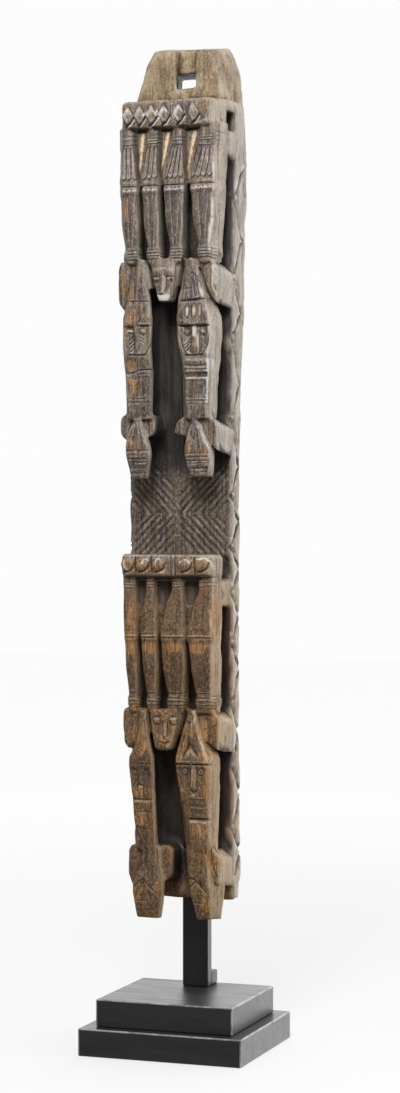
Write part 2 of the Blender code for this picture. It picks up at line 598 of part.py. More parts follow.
def cut_zigzag(cuts):
    """A zigzag of separate strokes down both sides of the board."""
    for side in (-1, 1):
        for i, (upper, lower) in enumerate(zip(ZIGZAG, ZIGZAG[1:])):
            depths = (ZIGZAG_BACK, ZIGZAG_FRONT) if i % 2 == 0 else (ZIGZAG_FRONT, ZIGZAG_BACK)
            ends = [(side_at(side, z, y), y, z)
                    for y, z in zip(depths, (upper - ZIGZAG_BREAK, lower + ZIGZAG_BREAK))]
            gouge("zigzag", *ends, (side, 0, 0), ZIGZAG_WIDTH, ZIGZAG_DEPTH, cuts)


def side_at(side, height, depth):
    """The board's side at a height and a depth."""
    for lower, upper in zip(BOARD_STATIONS, BOARD_STATIONS[1:]):
        if lower[0] <= height <= upper[0]:
            share = (height - lower[0]) / (upper[0] - lower[0])
            left, front, back, side_back = (a + (b - a) * share
                                            for a, b in zip(lower[1:], upper[1:]))
            if side < 0:
                return left
            edge = BOARD_FRONT + BOARD_EDGE
            return front + (back - front) * (depth - edge) / (side_back - edge)
    raise ValueError("no section of the board at this height")


def cut_face(name, middle, half_width, nose, brow, chin, depth, cuts):
    """Sink both cheeks between the brow and a V-shaped chin; the nose stays standing."""
    front = GROUP_FRONT - 0.006
    for side in (-1, 1):
        rings = []
        for reach in (nose, half_width):
            x = middle + side * reach
            low = chin + (0.0 if reach == nose else (brow - chin) * JAW_RISE)
            rings.append([(x, front, brow), (x, GROUP_FRONT + depth, brow),
                          (x, GROUP_FRONT + depth * CHIN_DEPTH, low), (x, front, low)])
        loft(name, rings, cuts)


def head_at(stations, height):
    """Left side, right side and set-back of a head's front at a height."""
    for upper, lower in zip(stations, stations[1:]):
        if lower[0] <= height <= upper[0]:
            share = (upper[0] - height) / (upper[0] - lower[0])
            return [upper[i] + (lower[i] - upper[i]) * share for i in (1, 2, 5)]
    raise ValueError("no section of the head at this height")


def cut_faces(cuts):
    """Faces, neck lines and the notches of the hats."""
    cut_face("face_upper_left", -0.0500, 0.0195, 0.0035, 1.060, 1.018, 0.0045, cuts)
    cut_face("face_upper_right", 0.0370, 0.0215, 0.0045, 1.060, 1.018, 0.0045, cuts)
    cut_face("face_lower_left", -0.0440, 0.0160, 0.0035, 0.416, 0.384, 0.0040, cuts)
    cut_face("face_lower_right", 0.0350, 0.0210, 0.0040, 0.421, 0.380, 0.0045, cuts)
    cut_face("face_animal_upper", -0.0100, 0.0125, 0.0028, 1.134, 1.107, 0.0025, cuts)
    cut_face("face_animal_lower", -0.0085, 0.0130, 0.0028, 0.4905, 0.4625, 0.0025, cuts)
    lines = (
        (UPPER_HEAD_LEFT, 1.095), (UPPER_HEAD_RIGHT, 1.095),
        (UPPER_HEAD_LEFT, 0.986), (UPPER_HEAD_LEFT, 0.949),
        (UPPER_HEAD_RIGHT, 0.998), (UPPER_HEAD_RIGHT, 0.986), (UPPER_HEAD_RIGHT, 0.949),
        (UPPER_SMALL_LEFT, 0.878), (UPPER_SMALL_LEFT, 0.856),
        (UPPER_SMALL_RIGHT, 0.869), (UPPER_SMALL_RIGHT, 0.851),
        (LOWER_SMALL_LEFT, 0.232), (LOWER_HEAD_RIGHT, 0.343), (LOWER_HEAD_LEFT, 0.372),
    )
    for stations, height in lines:
        left, right, set_back = head_at(stations, height)
        ends = [(x, GROUP_FRONT + set_back, height) for x in (left + 0.0015, right - 0.0015)]
        gouge("band_line", *ends, (0, -1, 0), 0.004, 0.003, cuts)
    for x, z, size in HAT_NOTCHES:
        loft("hat_notch", [[(x - size * 0.3, y, z - size / 2), (x + size * 0.3, y, z - size / 2),
                            (x, y, z + size / 2)]
                           for y in (GROUP_FRONT - 0.003, GROUP_FRONT + 0.005)], cuts)


def cut_bands(cuts):
    """Slanting slots under the lozenges and the slits of the low band."""
    for x in LOZENGES:
        gouge("lozenge_slot", (x - 0.0025, GROUP_FRONT, TOP_BAND[0] + 0.002),
              (x + 0.0085, GROUP_FRONT, TOP_BAND[0] + 0.013), (0, -1, 0), 0.004, 0.005, cuts)
    for (top_x, top_z), (low_x, low_z) in YOKE_GAPS:
        gouge("yoke_gap", (top_x, YOKE_FRONT, top_z), (low_x, YOKE_FRONT, low_z), (0, -1, 0),
              GAP_WIDTH, GAP_DEPTH, cuts)
    for x in BAR_SLITS:
        gouge("bar_slit", (x, GROUP_FRONT - LOW_BAND_PROUD, LOW_BAND[0] - 0.004),
              (x, GROUP_FRONT - LOW_BAND_PROUD, LOW_BAND[1] + 0.004), (0, -1, 0), 0.003, 0.008,
              cuts)


def make_bosses(bosses):
    """Lozenges, ovals and eyes, raised after the cuts."""
    for x in LOZENGES:
        boss("lozenge", (x, GROUP_FRONT, LOZENGE_MIDDLE), *LOZENGE_SIZE, LOZENGE_HEIGHT, 4,
             bosses, sharp=True)
    middle = (LOW_BAND[0] + LOW_BAND[1]) / 2
    for x in OVALS:
        boss("oval", (x, GROUP_FRONT - LOW_BAND_PROUD, middle), 0.0113, 0.0125, 0.0022, 8, bosses)
    for name, depth, half_width, eyes in (("eye", 0.0030, 0.0045, EYES),
                                          ("animal_eye", 0.0015, 0.0036, ANIMAL_EYES)):
        for x, z, reach in eyes:
            for side in (-1, 1):
                boss(name, (x + side * reach, GROUP_FRONT + depth, z), half_width, 0.0031, 0.0020,
                     6, bosses)


def use_collection(item, name, operation, collection):
    """Add a Boolean modifier that works with a whole collection."""
    modifier = item.modifiers.new(name, "BOOLEAN")
    modifier.operation = operation
    modifier.operand_type = "COLLECTION"
    modifier.collection = collection
    modifier.solver = "EXACT"


def make_column(collection, wood):
    """The board with the forms added, the carving cut and the small bosses added."""
    forms = new_collection("column_forms")
    cuts = new_collection("column_cuts")
    bosses = new_collection("column_bosses")
    column = make_board(collection)
    make_forms(forms)
    cut_tenon(cuts)
    cut_herringbone(cuts)
    cut_zigzag(cuts)
    cut_faces(cuts)
    cut_bands(cuts)
    make_bosses(bosses)
    for group in (forms, cuts, bosses):
        for item in group.objects:
            item.hide_render = True
            item.display_type = "WIRE"
    use_collection(column, "add_forms", "UNION", forms)
    use_collection(column, "cut_carving", "DIFFERENCE", cuts)
    use_collection(column, "add_bosses", "UNION", bosses)
    column.data.materials.append(wood)


def make_slab(name, low, high, collection, black):
    """A stand piece with softened edges."""
    slab = block(name, low, high, collection)
    bevel = slab.modifiers.new("soft_edges", "BEVEL")
    bevel.width = TIER_EDGE
    bevel.segments = 1
    slab.data.materials.append(black)


def make_stand(collection, black):
    """Two tiers, the flat bar that carries the post and the block behind the bar's foot."""
    lower_x, lower_y = (side / 2 for side in LOWER_TIER)
    upper_x, upper_y = (side / 2 for side in UPPER_TIER)
    top = 2 * TIER_HEIGHT
    bar_left = BAR_CENTRE_X - BAR_WIDTH / 2
    bar_right = BAR_CENTRE_X + BAR_WIDTH / 2
    bar_back = BAR_FRONT_Y + BAR_DEPTH
    make_slab("plinth_lower_tier", (-lower_x, -lower_y, 0.0), (lower_x, lower_y, TIER_HEIGHT),
              collection, black)
    make_slab("plinth_upper_tier", (-upper_x, -upper_y, TIER_HEIGHT + GAP),
              (upper_x, upper_y, top), collection, black)
    make_slab("support_bar", (bar_left, BAR_FRONT_Y, top + GAP),
              (bar_right, bar_back, BAR_TOP_Z), collection, black)
    make_slab("bar_foot_block", (bar_left, bar_back + GAP, top + GAP),
              (bar_right, upper_y, top + FOOT_BLOCK_HEIGHT), collection, black)


def main():
    clear_scene()
    collection = new_collection("carved_post_on_stand")
    wood = new_material("old_carved_wood", WOOD_COLOUR, 0.62)
    black = new_material("satin_black_stand", BLACK_COLOUR, 0.45)
    make_stand(collection, black)
    make_column(collection, wood)


main()
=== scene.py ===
import math

import bpy
import numpy as np
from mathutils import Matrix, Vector
from mathutils.bvhtree import BVHTree


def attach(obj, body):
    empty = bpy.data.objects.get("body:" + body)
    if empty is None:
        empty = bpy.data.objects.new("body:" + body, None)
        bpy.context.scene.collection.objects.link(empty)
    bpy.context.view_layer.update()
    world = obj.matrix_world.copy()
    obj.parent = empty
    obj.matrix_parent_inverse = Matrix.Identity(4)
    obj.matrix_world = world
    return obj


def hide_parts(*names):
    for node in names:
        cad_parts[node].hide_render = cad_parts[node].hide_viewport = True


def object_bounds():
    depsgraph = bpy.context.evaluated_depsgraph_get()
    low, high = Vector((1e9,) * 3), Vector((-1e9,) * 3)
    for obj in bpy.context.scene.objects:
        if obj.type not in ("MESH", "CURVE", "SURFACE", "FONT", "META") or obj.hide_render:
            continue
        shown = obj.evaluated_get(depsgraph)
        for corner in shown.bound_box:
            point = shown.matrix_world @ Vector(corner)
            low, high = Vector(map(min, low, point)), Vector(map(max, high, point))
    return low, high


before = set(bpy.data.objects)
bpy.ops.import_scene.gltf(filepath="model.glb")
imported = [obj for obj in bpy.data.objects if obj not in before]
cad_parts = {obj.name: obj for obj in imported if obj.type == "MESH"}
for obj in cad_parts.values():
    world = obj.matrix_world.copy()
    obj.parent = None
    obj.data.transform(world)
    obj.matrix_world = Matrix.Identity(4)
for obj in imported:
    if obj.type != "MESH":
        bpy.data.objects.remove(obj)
CAD_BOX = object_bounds()

MM = 0.001
TRIANGLES = 196000                 # of the finished carving
VOXEL = 1.2 * MM
# Smoothing steps that wear the hewn edges round.
ROUND_FIGURES, ROUND_TENON, ROUND_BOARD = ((20, 12, 5))
RAYS = 14  # cast from each point to see how shut in it is
# The carved faces; the outer edge is the rim of the figures' right side.
FACES = FRONT, BOARD, TENON, RIGHT_SIDE, OUTER_EDGE, BOARD_RIGHT, BOARD_LEFT = range(7)
# Corners of the plinth's two boards, as in the CAD, in metres.
LOWER_CORNER = (0.125, 0.115, 0.040)
UPPER_CORNER = (0.105, 0.095, 0.0803)
# Brush streaks of the black paint: cells per metre in X, Y and Z.
ALONG_X = (14.0, 90.0, 90.0)
ALONG_Z = (220.0, 220.0, 60.0)
CAMERA_PLACE = (1.228, -3.357, 0.739)
CAMERA_TURN = 19.76                # degrees round Z
LENS = 79.67
# Corners of the zigzag down the board's sides, as in the CAD, from the top, in millimetres.
ZIGZAG = (1293, 1250, 1189, 1134, 1082, 1046, 977, 928, 857, 815, 775, 740,
          705, 672, 638, 600, 558, 511, 466, 420, 375, 330, 290, 256)
# Worn or broken patches of bare wood on the front: middle across and up, half sizes.
PATCHES = (
    (-60, 1112, 6, 15), (-60, 1074, 10, 13), (-65, 1046, 5, 14), (-58, 1003, 9, 8),
    (-58, 973, 8, 11), (-70, 1230, 4, 20), (-30, 1066, 3, 8), (-48, 880, 7, 10), (52, 872, 8, 12),
    (-66, 1381, 6, 5), (54, 1376, 8, 7), (-60, 893, 8, 12), (30, 885, 9, 14), (60, 1262, 5, 5),
    (-62, 712, 12, 11), (-38, 710, 12, 10), (-13, 710, 12, 10), (28, 711, 12, 11),
    (54, 713, 13, 12),
    (-62, 590, 9, 14), (-32, 594, 10, 9), (5, 594, 12, 8), (46, 594, 12, 10), (69, 640, 7, 30),
    (-60, 640, 6, 26), (-42, 462, 6, 20), (-57, 470, 5, 12), (16, 440, 5, 14), (50, 436, 7, 10),
    (26, 452, 5, 12), (50, 470, 6, 18), (49, 328, 11, 11), (-44, 345, 9, 12), (58, 395, 4, 30),
    (-17, 241, 6, 13), (-50, 232, 8, 12), (-48, 380, 6, 10), (56, 226, 7, 14), (-8, 458, 7, 8),
    (42, 1030, 3, 11), (66, 284, 8, 16), (58, 444, 5, 10), (26, 474, 3, 12), (36, 474, 3, 14),
    (-54, 500, 6, 8), (68, 500, 6, 14), (-6, 496, 8, 5), (-73, 1128, 5, 18), (60, 292, 5, 16),
)
# Places where the patina is thickest, in the same way.
GRIME = (
    (42, 966, 17, 14), (-42, 1002, 13, 11), (-41, 972, 13, 14), (-40, 938, 15, 10),
    (-48, 858, 15, 15), (44, 857, 15, 12), (-41, 425, 13, 18), (-40, 402, 12, 12),
    (-42, 335, 13, 18), (44, 366, 14, 12), (-46, 282, 15, 18), (-38, 1110, 6, 18),
    (40, 1110, 9, 20), (43, 922, 13, 20),
    (-64, 1305, 10, 26), (-28, 1305, 11, 26), (8, 1305, 13, 26), (50, 1305, 17, 26),
)


# ---------------------------------------------------------------- noise over points

def lattice_noise(points, size, seed):
    """Smooth value noise, about -1 to 1; size is one cell's width, depth and height."""
    grid = np.random.RandomState(seed).uniform(-1.0, 1.0, (32, 32, 64))
    place = points / np.array(size)
    low = np.floor(place).astype(np.int64)
    share = place - low
    share = share * share * (3.0 - 2.0 * share)
    total = np.zeros(len(points))
    for corner in range(8):
        step = np.array([corner & 1, (corner >> 1) & 1, (corner >> 2) & 1])
        cell = low + step
        weight = np.prod(np.where(step == 1, share, 1.0 - share), axis=1)
        total += weight * grid[cell[:, 0] % 32, cell[:, 1] % 32, cell[:, 2] % 64]
    return total


def layered_noise(points, size, seed, layers=2, gain=0.5):
    """Several octaves of the noise."""
    total = np.zeros(len(points))
    for layer in range(layers):
        scale = np.array(size) / 2.0 ** layer
        total += gain ** layer * lattice_noise(points, scale, seed + layer)
    return total


def step_between(low, high, values):
    """0 below low, 1 above high, smooth between."""
    share = np.clip((values - low) / (high - low), 0.0, 1.0)
    return share * share * (3.0 - 2.0 * share)


# ---------------------------------------------------------------- carved strokes

class Carving:
    """Strokes, sunk areas and painted highlights on one face, in millimetres across and up."""

    def __init__(self):
        self.strokes = []
        self.areas = []
        self.glints = []

    def cut(self, points, width, depth):
        """A groove along a line of points; a negative depth raises a ridge."""
        self.strokes.append((np.array(points, float), width / 2.0, depth))

    def dot(self, x, z, width, depth):
        """A round pit, or a bead if the depth is negative."""
        self.cut([(x, z), (x, z + 0.01)], width, depth)

    def line(self, left, right, z, width=1.7, depth=1, sag=0, lip=None):
        """A slightly bent line across; its lip gets a painted highlight: how far above, width,
        strength.
        """
        self.cut([(left, z), ((left + right) / 2, z - sag), (right, z)], width, depth)
        if lip:
            rise, lip_width, strength = lip
            self.glint([(left, z + rise), (right, z + rise)], lip_width, strength)

    def area(self, corners, depth, soft=1.0):
        """A sunk area with sides that slope over the distance soft."""
        self.areas.append((np.array(corners, float), depth, soft))

    def glint(self, points, width, strength):
        """A painted highlight: a light line or patch in the colour, where the wood is also a
        little less rough.
        """
        self.glints.append((np.array(points, float), width / 2.0, strength))

    def relief(self, across, up):
        """Depth in millimetres, the cuts' dark paint, both dirty and shaded, and painted
        highlights, at each point of the face.
        """
        order = np.argsort(up)
        across, up = across[order] * 1000.0, up[order] * 1000.0
        groove = np.zeros(len(up))
        ridge = np.zeros(len(up))
        painted_highlight = np.zeros(len(up))
        layers = [(line, half, abs(depth), groove if depth > 0 else ridge)
                  for line, half, depth in self.strokes]
        layers += [(line, half, strength, painted_highlight) for line, half, strength in self.glints]
        for points, half, strength, layer in layers:
            near = close_by(across, up, points, half)
            if len(near) == 0:
                continue
            distance = line_distance(across[near], up[near], points)
            profile = np.clip(1.0 - (distance / half) ** 2, 0.0, 1.0) * strength
            layer[near] = np.maximum(layer[near], profile)
        sunk = np.zeros(len(up))
        for corners, depth, soft in self.areas:
            near = close_by(across, up, corners, 0.0)
            if len(near) == 0:
                continue
            edge = line_distance(across[near], up[near], np.vstack([corners, corners[:1]]))
            inside = in_polygon(across[near], up[near], corners)
            sunk[near] += depth * inside * step_between(0.0, soft, edge)
        back = np.empty_like(order)
        back[order] = np.arange(len(order))
        return (groove - ridge + sunk)[back], groove[back], painted_highlight[back]


def arc(x, z, half_width, half_height, start=0.0, end=360.0, points=14):
    """Points along an ellipse or a part of it."""
    turns = [math.radians(start + (end - start) * i / points) for i in range(points + 1)]
    return [(x + half_width * math.cos(t), z + half_height * math.sin(t)) for t in turns]


def close_by(across, up, points, margin):
    """Which places lie in the box round a line of points; up is sorted."""
    first = np.searchsorted(up, points[:, 1].min() - margin)
    last = np.searchsorted(up, points[:, 1].max() + margin)
    near = np.arange(first, last)
    x = across[near]
    return near[(x > points[:, 0].min() - margin) & (x < points[:, 0].max() + margin)]


def line_distance(x, y, points):
    """Distance from each place to a line of points."""
    best = np.full(len(x), 1e9)
    for (ax, ay), (bx, by) in zip(points[:-1], points[1:]):
        dx, dy = bx - ax, by - ay
        length = dx * dx + dy * dy
        share = np.clip(((x - ax) * dx + (y - ay) * dy) / length, 0.0, 1.0)
        best = np.minimum(best, (x - ax - share * dx) ** 2 + (y - ay - share * dy) ** 2)
    return np.sqrt(best)


def in_polygon(x, y, corners):
    """True where a place lies inside the polygon."""
    inside = np.zeros(len(x), bool)
    for (ax, ay), (bx, by) in zip(corners, np.roll(corners, -1, axis=0)):
        if ay == by:
            continue
        crosses = (ay > y) != (by > y)
        inside ^= crosses & (x < (bx - ax) * (y - ay) / (by - ay) + ax)
    return inside


def carve_top_band(face):
    """Deep slots between the raised lozenges, and painted highlights on their facets."""
    for x, highlit in zip((-64, -45.5, -27.5, -8, 15, 37.5), (0.7, 0.7, 0.6, 1.2, 1, 0.5)):
        face.cut([(x - 3, 1350), (x + 4, 1355), (x + 9.5, 1363.5)], 3.8, 3.6)
        face.glint([(x + 1, 1350.5), (x + 6, 1353.5), (x + 10.5, 1360)], 2.4, highlit + 0.3)
        face.cut([(x - 9, 1367), (x - 1, 1381.5)], 1.8, 1.2)
        face.cut([(x + 1, 1381.5), (x + 8.8, 1368)], 1.8, 1.4)
        face.cut([(x - 8.8, 1366), (x - 1, 1352.5)], 1.8, 1)
        face.cut([(x, 1377), (x, 1357)], 9, -1)
        face.glint([(x - 4.5, 1367), (x - 1, 1374)], 8.5, highlit)
        face.glint([(x - 4.5, 1365), (x, 1358)], 5, highlit * 0.9)
        face.glint([(x + 1.5, 1376), (x + 5.5, 1369)], 2.2, highlit * 0.7)
    face.glint([(-39, 1365), (-35, 1369), (-31.5, 1365)], 4, 1.5)
    face.glint([(-19, 1370), (-15, 1362)], 6, 1.7)
    face.glint([(8.5, 1375), (9, 1362)], 5, 1.2)
    face.cut([(7.3, 1388), (6.9, 1380), (6.4, 1371)], 1.8, 2.6)
    face.glint([(-70, 1385.5), (62, 1385.5)], 2.2, 0.25)
    face.glint([(46, 1352), (62, 1356)], 4, 0.4)
    # A cut under the band, painted dark as the shadow the band casts.
    for left, right in ((-58, -36), (-24, 2), (16, 44)):
        face.cut([(left, 1346.5), (right, 1345)], 7, 2.4)


def carve_upper_legs(face):
    """Collar lines, petals with round ends, belt, dentils and ankle bars."""
    # Left and right edge at the collar, at the petals' ends and at the ankle; the heights of
    # the collar's lines; the number of petals.
    legs = (
        ((-75, -54.5), (-75, -51), (-67, -49.5), (1338, 1331.5, 1325), 3),
        ((-37, -18), (-43, -19), (-35, -16), (1333.5, 1329.5, 1325.5), 3),
        ((2, 21), (-9.5, 21.5), (0.5, 19.5), (1332.5, 1328, 1322), 4),
        ((43, 68), (31.5, 66), (43.5, 63), (1330.5, 1327, 1319.5), 4),
    )
    for (top_left, top_right), (left, right), (foot_left, foot_right), collar, count in legs:
        for z in collar:
            face.line(top_left, top_right, z, 1.6, 1.1, 0.6, (1.8, 1.5, 0.35))
        wide = right - left
        size = wide / count
        for i in range(count):
            low = left + wide * (i + 0.5) / count
            high = top_left + (top_right - top_left) * (i + 0.5) / count
            face.cut([(high, collar[-1] - 6), (low, 1280)], size * 0.62, -0.5)
            face.cut(arc(low, 1278, size * 0.45, 5, 185, 265, 6), 1.4, 1.1)
            face.cut(arc(low, 1278, size * 0.45, 5, 265, 355, 6), 2.4, 2)
            face.glint(arc(low - 0.5, 1279.5, size * 0.26, 3.6, 180, 330, 6), 2.2, 0.8)
            face.glint([(high - 0.4, collar[-1] - 6), ((high + low * 2) / 3 - 0.6, 1296),
                        (low - 0.6, 1279)], 1.9, 0.32)
        for i in range(1, count):
            low = left + wide * i / count
            high = top_left + (top_right - top_left) * i / count
            face.cut([(high, collar[-1] - 5), ((high * 2 + low) / 3, 1304), (low, 1279)], 2, 1.5)
        face.glint([(left - 0.5, 1269.5), (right + 1, 1269)], 2.6, 0.35)
        face.line(left - 0.5, right + 1, 1264, 2.4, 2)
        teeth = int(wide / 6.2)
        for i in range(teeth):
            x = left + wide * (i + 0.5) / teeth
            face.glint(arc(x, 1255.5, 2.2, 3.4, 20, 160, 5), 2.6, 0.9)
            face.dot(x + 2.6, 1254.5, 2.4, 1)
        face.line(left, right, 1251, 1.5, 0.7)
        middle = (foot_left + foot_right) / 2
        reach = (foot_right - foot_left) / 2 - 1
        for side in (-1, 1):
            start = middle + side * wide * 0.24
            face.cut([(start, 1247), (middle + side * reach * 0.50, 1205),
                      (middle + side * reach * 0.28, 1176)], 1.4, 0.55)
            face.glint([(start - 1.6, 1247), (middle + side * reach * 0.50 - 1.6, 1205),
                        (middle + side * reach * 0.28 - 1.4, 1178)], 1.4, 0.30)
        for z in (1170.5, 1165.5, 1161, 1157):
            face.line(middle - reach, middle + reach, z, 1.6, 1.1, 0.3)
            face.glint([(middle - reach, z + 2.2), (middle + reach, z + 2)], 1.5, 0.45)


def carve_upper_hats(face):
    """Lines, notches and loops of the hats, and a painted highlight on the right-hand shoulder's
    rim.
    """
    face.cut([(-53.5, 1128), (-53, 1098)], 1.8, 1.4)
    face.line(-62, -32, 1096, 2, 1.4)
    face.glint([(-58, 1099), (-34, 1098.5)], 2, 0.35)
    for top, low in (((24, 1128), (20, 1097)), ((28, 1131), (25.5, 1096.5)),
                     ((32.5, 1133), (32.5, 1096)), ((36.5, 1131), (40, 1096.5)),
                     ((40, 1131), (47.5, 1097))):
        middle = ((top[0] + low[0]) / 2, 1114)
        face.cut([top, middle, low], 1.5, 1.2)
        face.glint([(middle[0] - 1.5, 1114), (low[0] - 1.5, 1099)], 1.3, 0.35)
    face.line(24, 35, 1112.5, 1.8, 1.5)
    face.cut([(29, 1131), (35, 1134.5), (42.5, 1129), (49, 1112)], 1.6, 1.3)
    face.cut([(19, 1094.5), (40, 1095.5), (58, 1098)], 3.4, 2.6)
    face.glint([(40, 1099.5), (56, 1102)], 2, 0.5)
    for left, right, light in ((25, 32, 1.2), (35.5, 43, 0.8), (45, 51, 0.3)):
        middle, half = (left + right) / 2, (right - left) / 2
        loop = [(left, 1073)] + arc(middle, 1085, half, 5, 180, 0, 6)
        loop += arc(middle, 1073, half, 3, 0, -180, 6)
        face.cut(loop, 1.5, 1.2)
        face.glint([(middle, 1074), (middle, 1083)], half * 1.2, light)
    face.glint([(64.5, 1146), (63.3, 1117), (66, 1110), (73, 1098)], 2.4, 1.4)
    face.glint([(68, 1144), (67.5, 1120)], 8, 0.5)


def carve_upper_animal(face):
    """Brows, dark sunk eyes, the nose's line, nostrils and a painted highlight on the muzzle."""
    face.cut([(-25, 1131.5), (-15.5, 1131.5)], 2, 2)
    face.cut([(-5, 1131), (8.5, 1130.5)], 2, 2)
    for x in (-18.3, 3.4):
        face.dot(x, 1124.5, 6.5, 2.6)
        face.dot(x - 0.8, 1124.8, 2.4, -1.2)
        face.cut(arc(x, 1125, 4.8, 3.6, 190, 350, 7), 1.4, 1.2)
        face.glint([(x - 5, 1128), (x + 1, 1128.8)], 1.6, 0.7)
    face.cut([(-8, 1129), (-8.5, 1109)], 6.5, -0.7)
    face.cut([(-3.8, 1131), (-3.4, 1112)], 1.8, 1.8)
    face.cut([(-13.8, 1105), (-11, 1104), (-8, 1105)], 2.2, 2.2)
    face.glint([(-15.5, 1101), (2.5, 1101)], 8, 1.6)
    face.glint([(-12.5, 1096.5), (-1.5, 1096.5)], 6, 1.5)
    face.cut([(-9.5, 1101), (-9, 1095.5)], 1.2, 0.5)
    face.glint([(-24, 1141), (-8, 1143), (7, 1140)], 5, 0.35)
    face.glint([(-24.5, 1118), (-17.5, 1104)], 1.6, 0.4)


def carve_upper_right_mask(face):
    """Bead row, brow, sunk eyes, nose, cheeks and chin."""
    for i in range(11):
        x = 17.5 + 4.3 * i
        face.dot(x, 1067 - 0.5 * i, 2.6, 0.9)
        face.glint([(x + 2, 1067.5 - 0.5 * i), (x + 2.2, 1066 - 0.5 * i)], 2, 0.6)
    face.glint([(30, 1062), (61, 1062.5)], 1.8, 0.4)
    face.cut([(17, 1058.5), (39, 1058), (61, 1058)], 3.4, 2.8)
    face.area([(21, 1058), (37, 1058), (37, 1045), (29, 1042.5), (22, 1046)], 1.6, 3)
    face.area([(46, 1058), (60.5, 1058), (60.5, 1045), (53, 1042.5), (46, 1045)], 1.6, 3)
    for x, light in ((28.5, 0.15), (52, 0.4)):
        face.dot(x, 1049, 8, -1.5)
        face.glint([(x - 2, 1050), (x + 0.5, 1050)], 4, light)
        face.cut(arc(x, 1049, 5.8, 5, 170, 370, 9), 1.8, 1.5)
    face.cut([(40, 1056), (41, 1022)], 7, -1.4)
    face.glint([(39.8, 1056), (40, 1045)], 6.5, 1.3)
    face.glint([(44, 1044), (44, 1028)], 2.4, 0.7)
    face.cut([(47, 1056), (46.5, 1038), (47, 1018)], 2.4, 2)
    face.cut([(36, 1056), (36, 1038), (34, 1020)], 1.6, 1.2)
    for start, end in (((35, 1040), (24, 1030)), ((35, 1035), (25.5, 1026)),
                       ((35, 1029.5), (27, 1021))):
        face.cut([start, end], 1.9, 1.6)
        face.glint([(start[0] - 1, start[1] + 2.6), (end[0] - 1, end[1] + 2.6)], 1.9, 0.7)
    face.glint([(29, 1021), (34, 1017.5)], 3, 0.8)
    face.cut([(50, 1038), (57, 1030)], 1.4, 0.8)
    face.cut([(50, 1031), (56, 1023)], 1.4, 0.8)
    face.line(26, 52, 1015.5, 3.2, 2.6)
    face.cut([(18, 1042), (20.5, 1030), (27, 1017)], 2.6, 1.8)
    face.cut([(61, 1046), (58.5, 1030), (52, 1017)], 2.2, 1.5)


def carve_upper_right_neck(face):
    """The neck, its ridges, the panel below them and a painted highlight along the right edge."""
    face.glint([(27, 1009.5), (52, 1009)], 6, 0.55)
    face.line(25, 56, 1001.5, 2, 1.5, 1)
    face.glint([(24, 998.5), (57, 998.5)], 1.8, 0.6)
    face.line(24, 57, 995.5, 1.9, 1.4)
    face.glint([(24, 993), (58, 993)], 1.6, 0.5)
    face.area([(24.5, 991.5), (58.5, 991.5), (58.5, 984), (24.5, 984)], 2, 1.2)
    face.line(25, 59, 982, 2, -0.9)
    face.glint([(24, 982.3), (60, 982.3)], 2.2, 0.9)
    face.area([(27, 979.5), (57.5, 979.5), (57.5, 952.5), (28, 952.5)], 0.7, 1)
    for x in (30.5, 35, 45.5, 54):
        face.cut([(x, 979), (x + 0.5, 965), (x, 953)], 1.4, 0.8)
    for z in (950.5, 945.5):
        face.line(26, 59, z, 1.5, 1, lip=(1.8, 1.5, 0.55))
    face.glint([(62, 1009), (63, 980), (61.5, 951)], 6, 0.8)
    face.glint([(61, 1075), (64, 1040), (62, 1018)], 4, 0.45)


def carve_upper_left_mask(face):
    """A mask that is worn on its left, with its neck."""
    for x in (-44, -38.5, -33):
        face.cut([(x - 2.5, 1065.5), (x, 1070), (x + 2.5, 1065.5)], 1.4, 1.1)
    face.glint([(-46, 1063.5), (-29, 1063.5)], 1.8, 0.5)
    face.cut([(-48, 1059.8), (-29, 1060.5)], 2.6, 2.2)
    face.cut([(-64, 1050), (-55, 1049)], 2.8, 1.8)
    face.glint([(-65, 1053.5), (-56, 1053)], 3, 0.7)
    face.dot(-41, 1052.5, 8, -1.4)
    face.cut(arc(-41, 1052.5, 6, 5.2, 150, 390, 10), 1.7, 1.5)
    face.glint([(-43, 1054), (-40, 1054)], 3, 0.5)
    face.cut([(-50.5, 1056), (-50.5, 1026)], 5.5, -1.2)
    face.cut([(-46.8, 1056), (-47, 1026)], 1.5, 1)
    for i in range(4):
        z = 1046 - 5.6 * i
        face.cut([(-54.5, z), (-63 + 1.2 * i, z - 7)], 2, 1.8)
        face.glint([(-55, z - 2.6), (-62 + 1.2 * i, z - 9)], 1.8, 0.6)
    for i in range(5):
        z = 1045 - 4.6 * i
        face.cut([(-46, z), (-35 - 1.2 * i, z - 6)], 1.3, 0.9)
        face.glint([(-46, z + 2), (-35.5 - 1.2 * i, z - 3.8)], 1.3, 0.6)
    face.line(-62, -36, 1018, 3, 2.4)
    face.cut([(-36, 1018.5), (-29, 1034)], 2.6, 2)
    face.glint([(-61, 1021.5), (-38, 1021.5)], 1.5, 0.35)
    face.cut([(-69, 992.5), (-57, 991.5), (-47, 996), (-28, 996.5)], 2.2, 2)
    face.area([(-67, 1012), (-49, 1014), (-48, 997), (-58, 993), (-67, 994)], 1, 3)
    face.glint([(-66, 987.5), (-28, 988.5)], 2, 0.8)
    face.area([(-65, 985), (-49, 986), (-50, 962), (-64, 960)], 0.8, 3)
    for z in (955, 949.5):
        face.line(-66, -29, z, 1.6, 1.1, lip=(1.8, 1.5, 0.5))
    face.glint([(-69, 924), (-33, 925)], 2.2, 0.6)


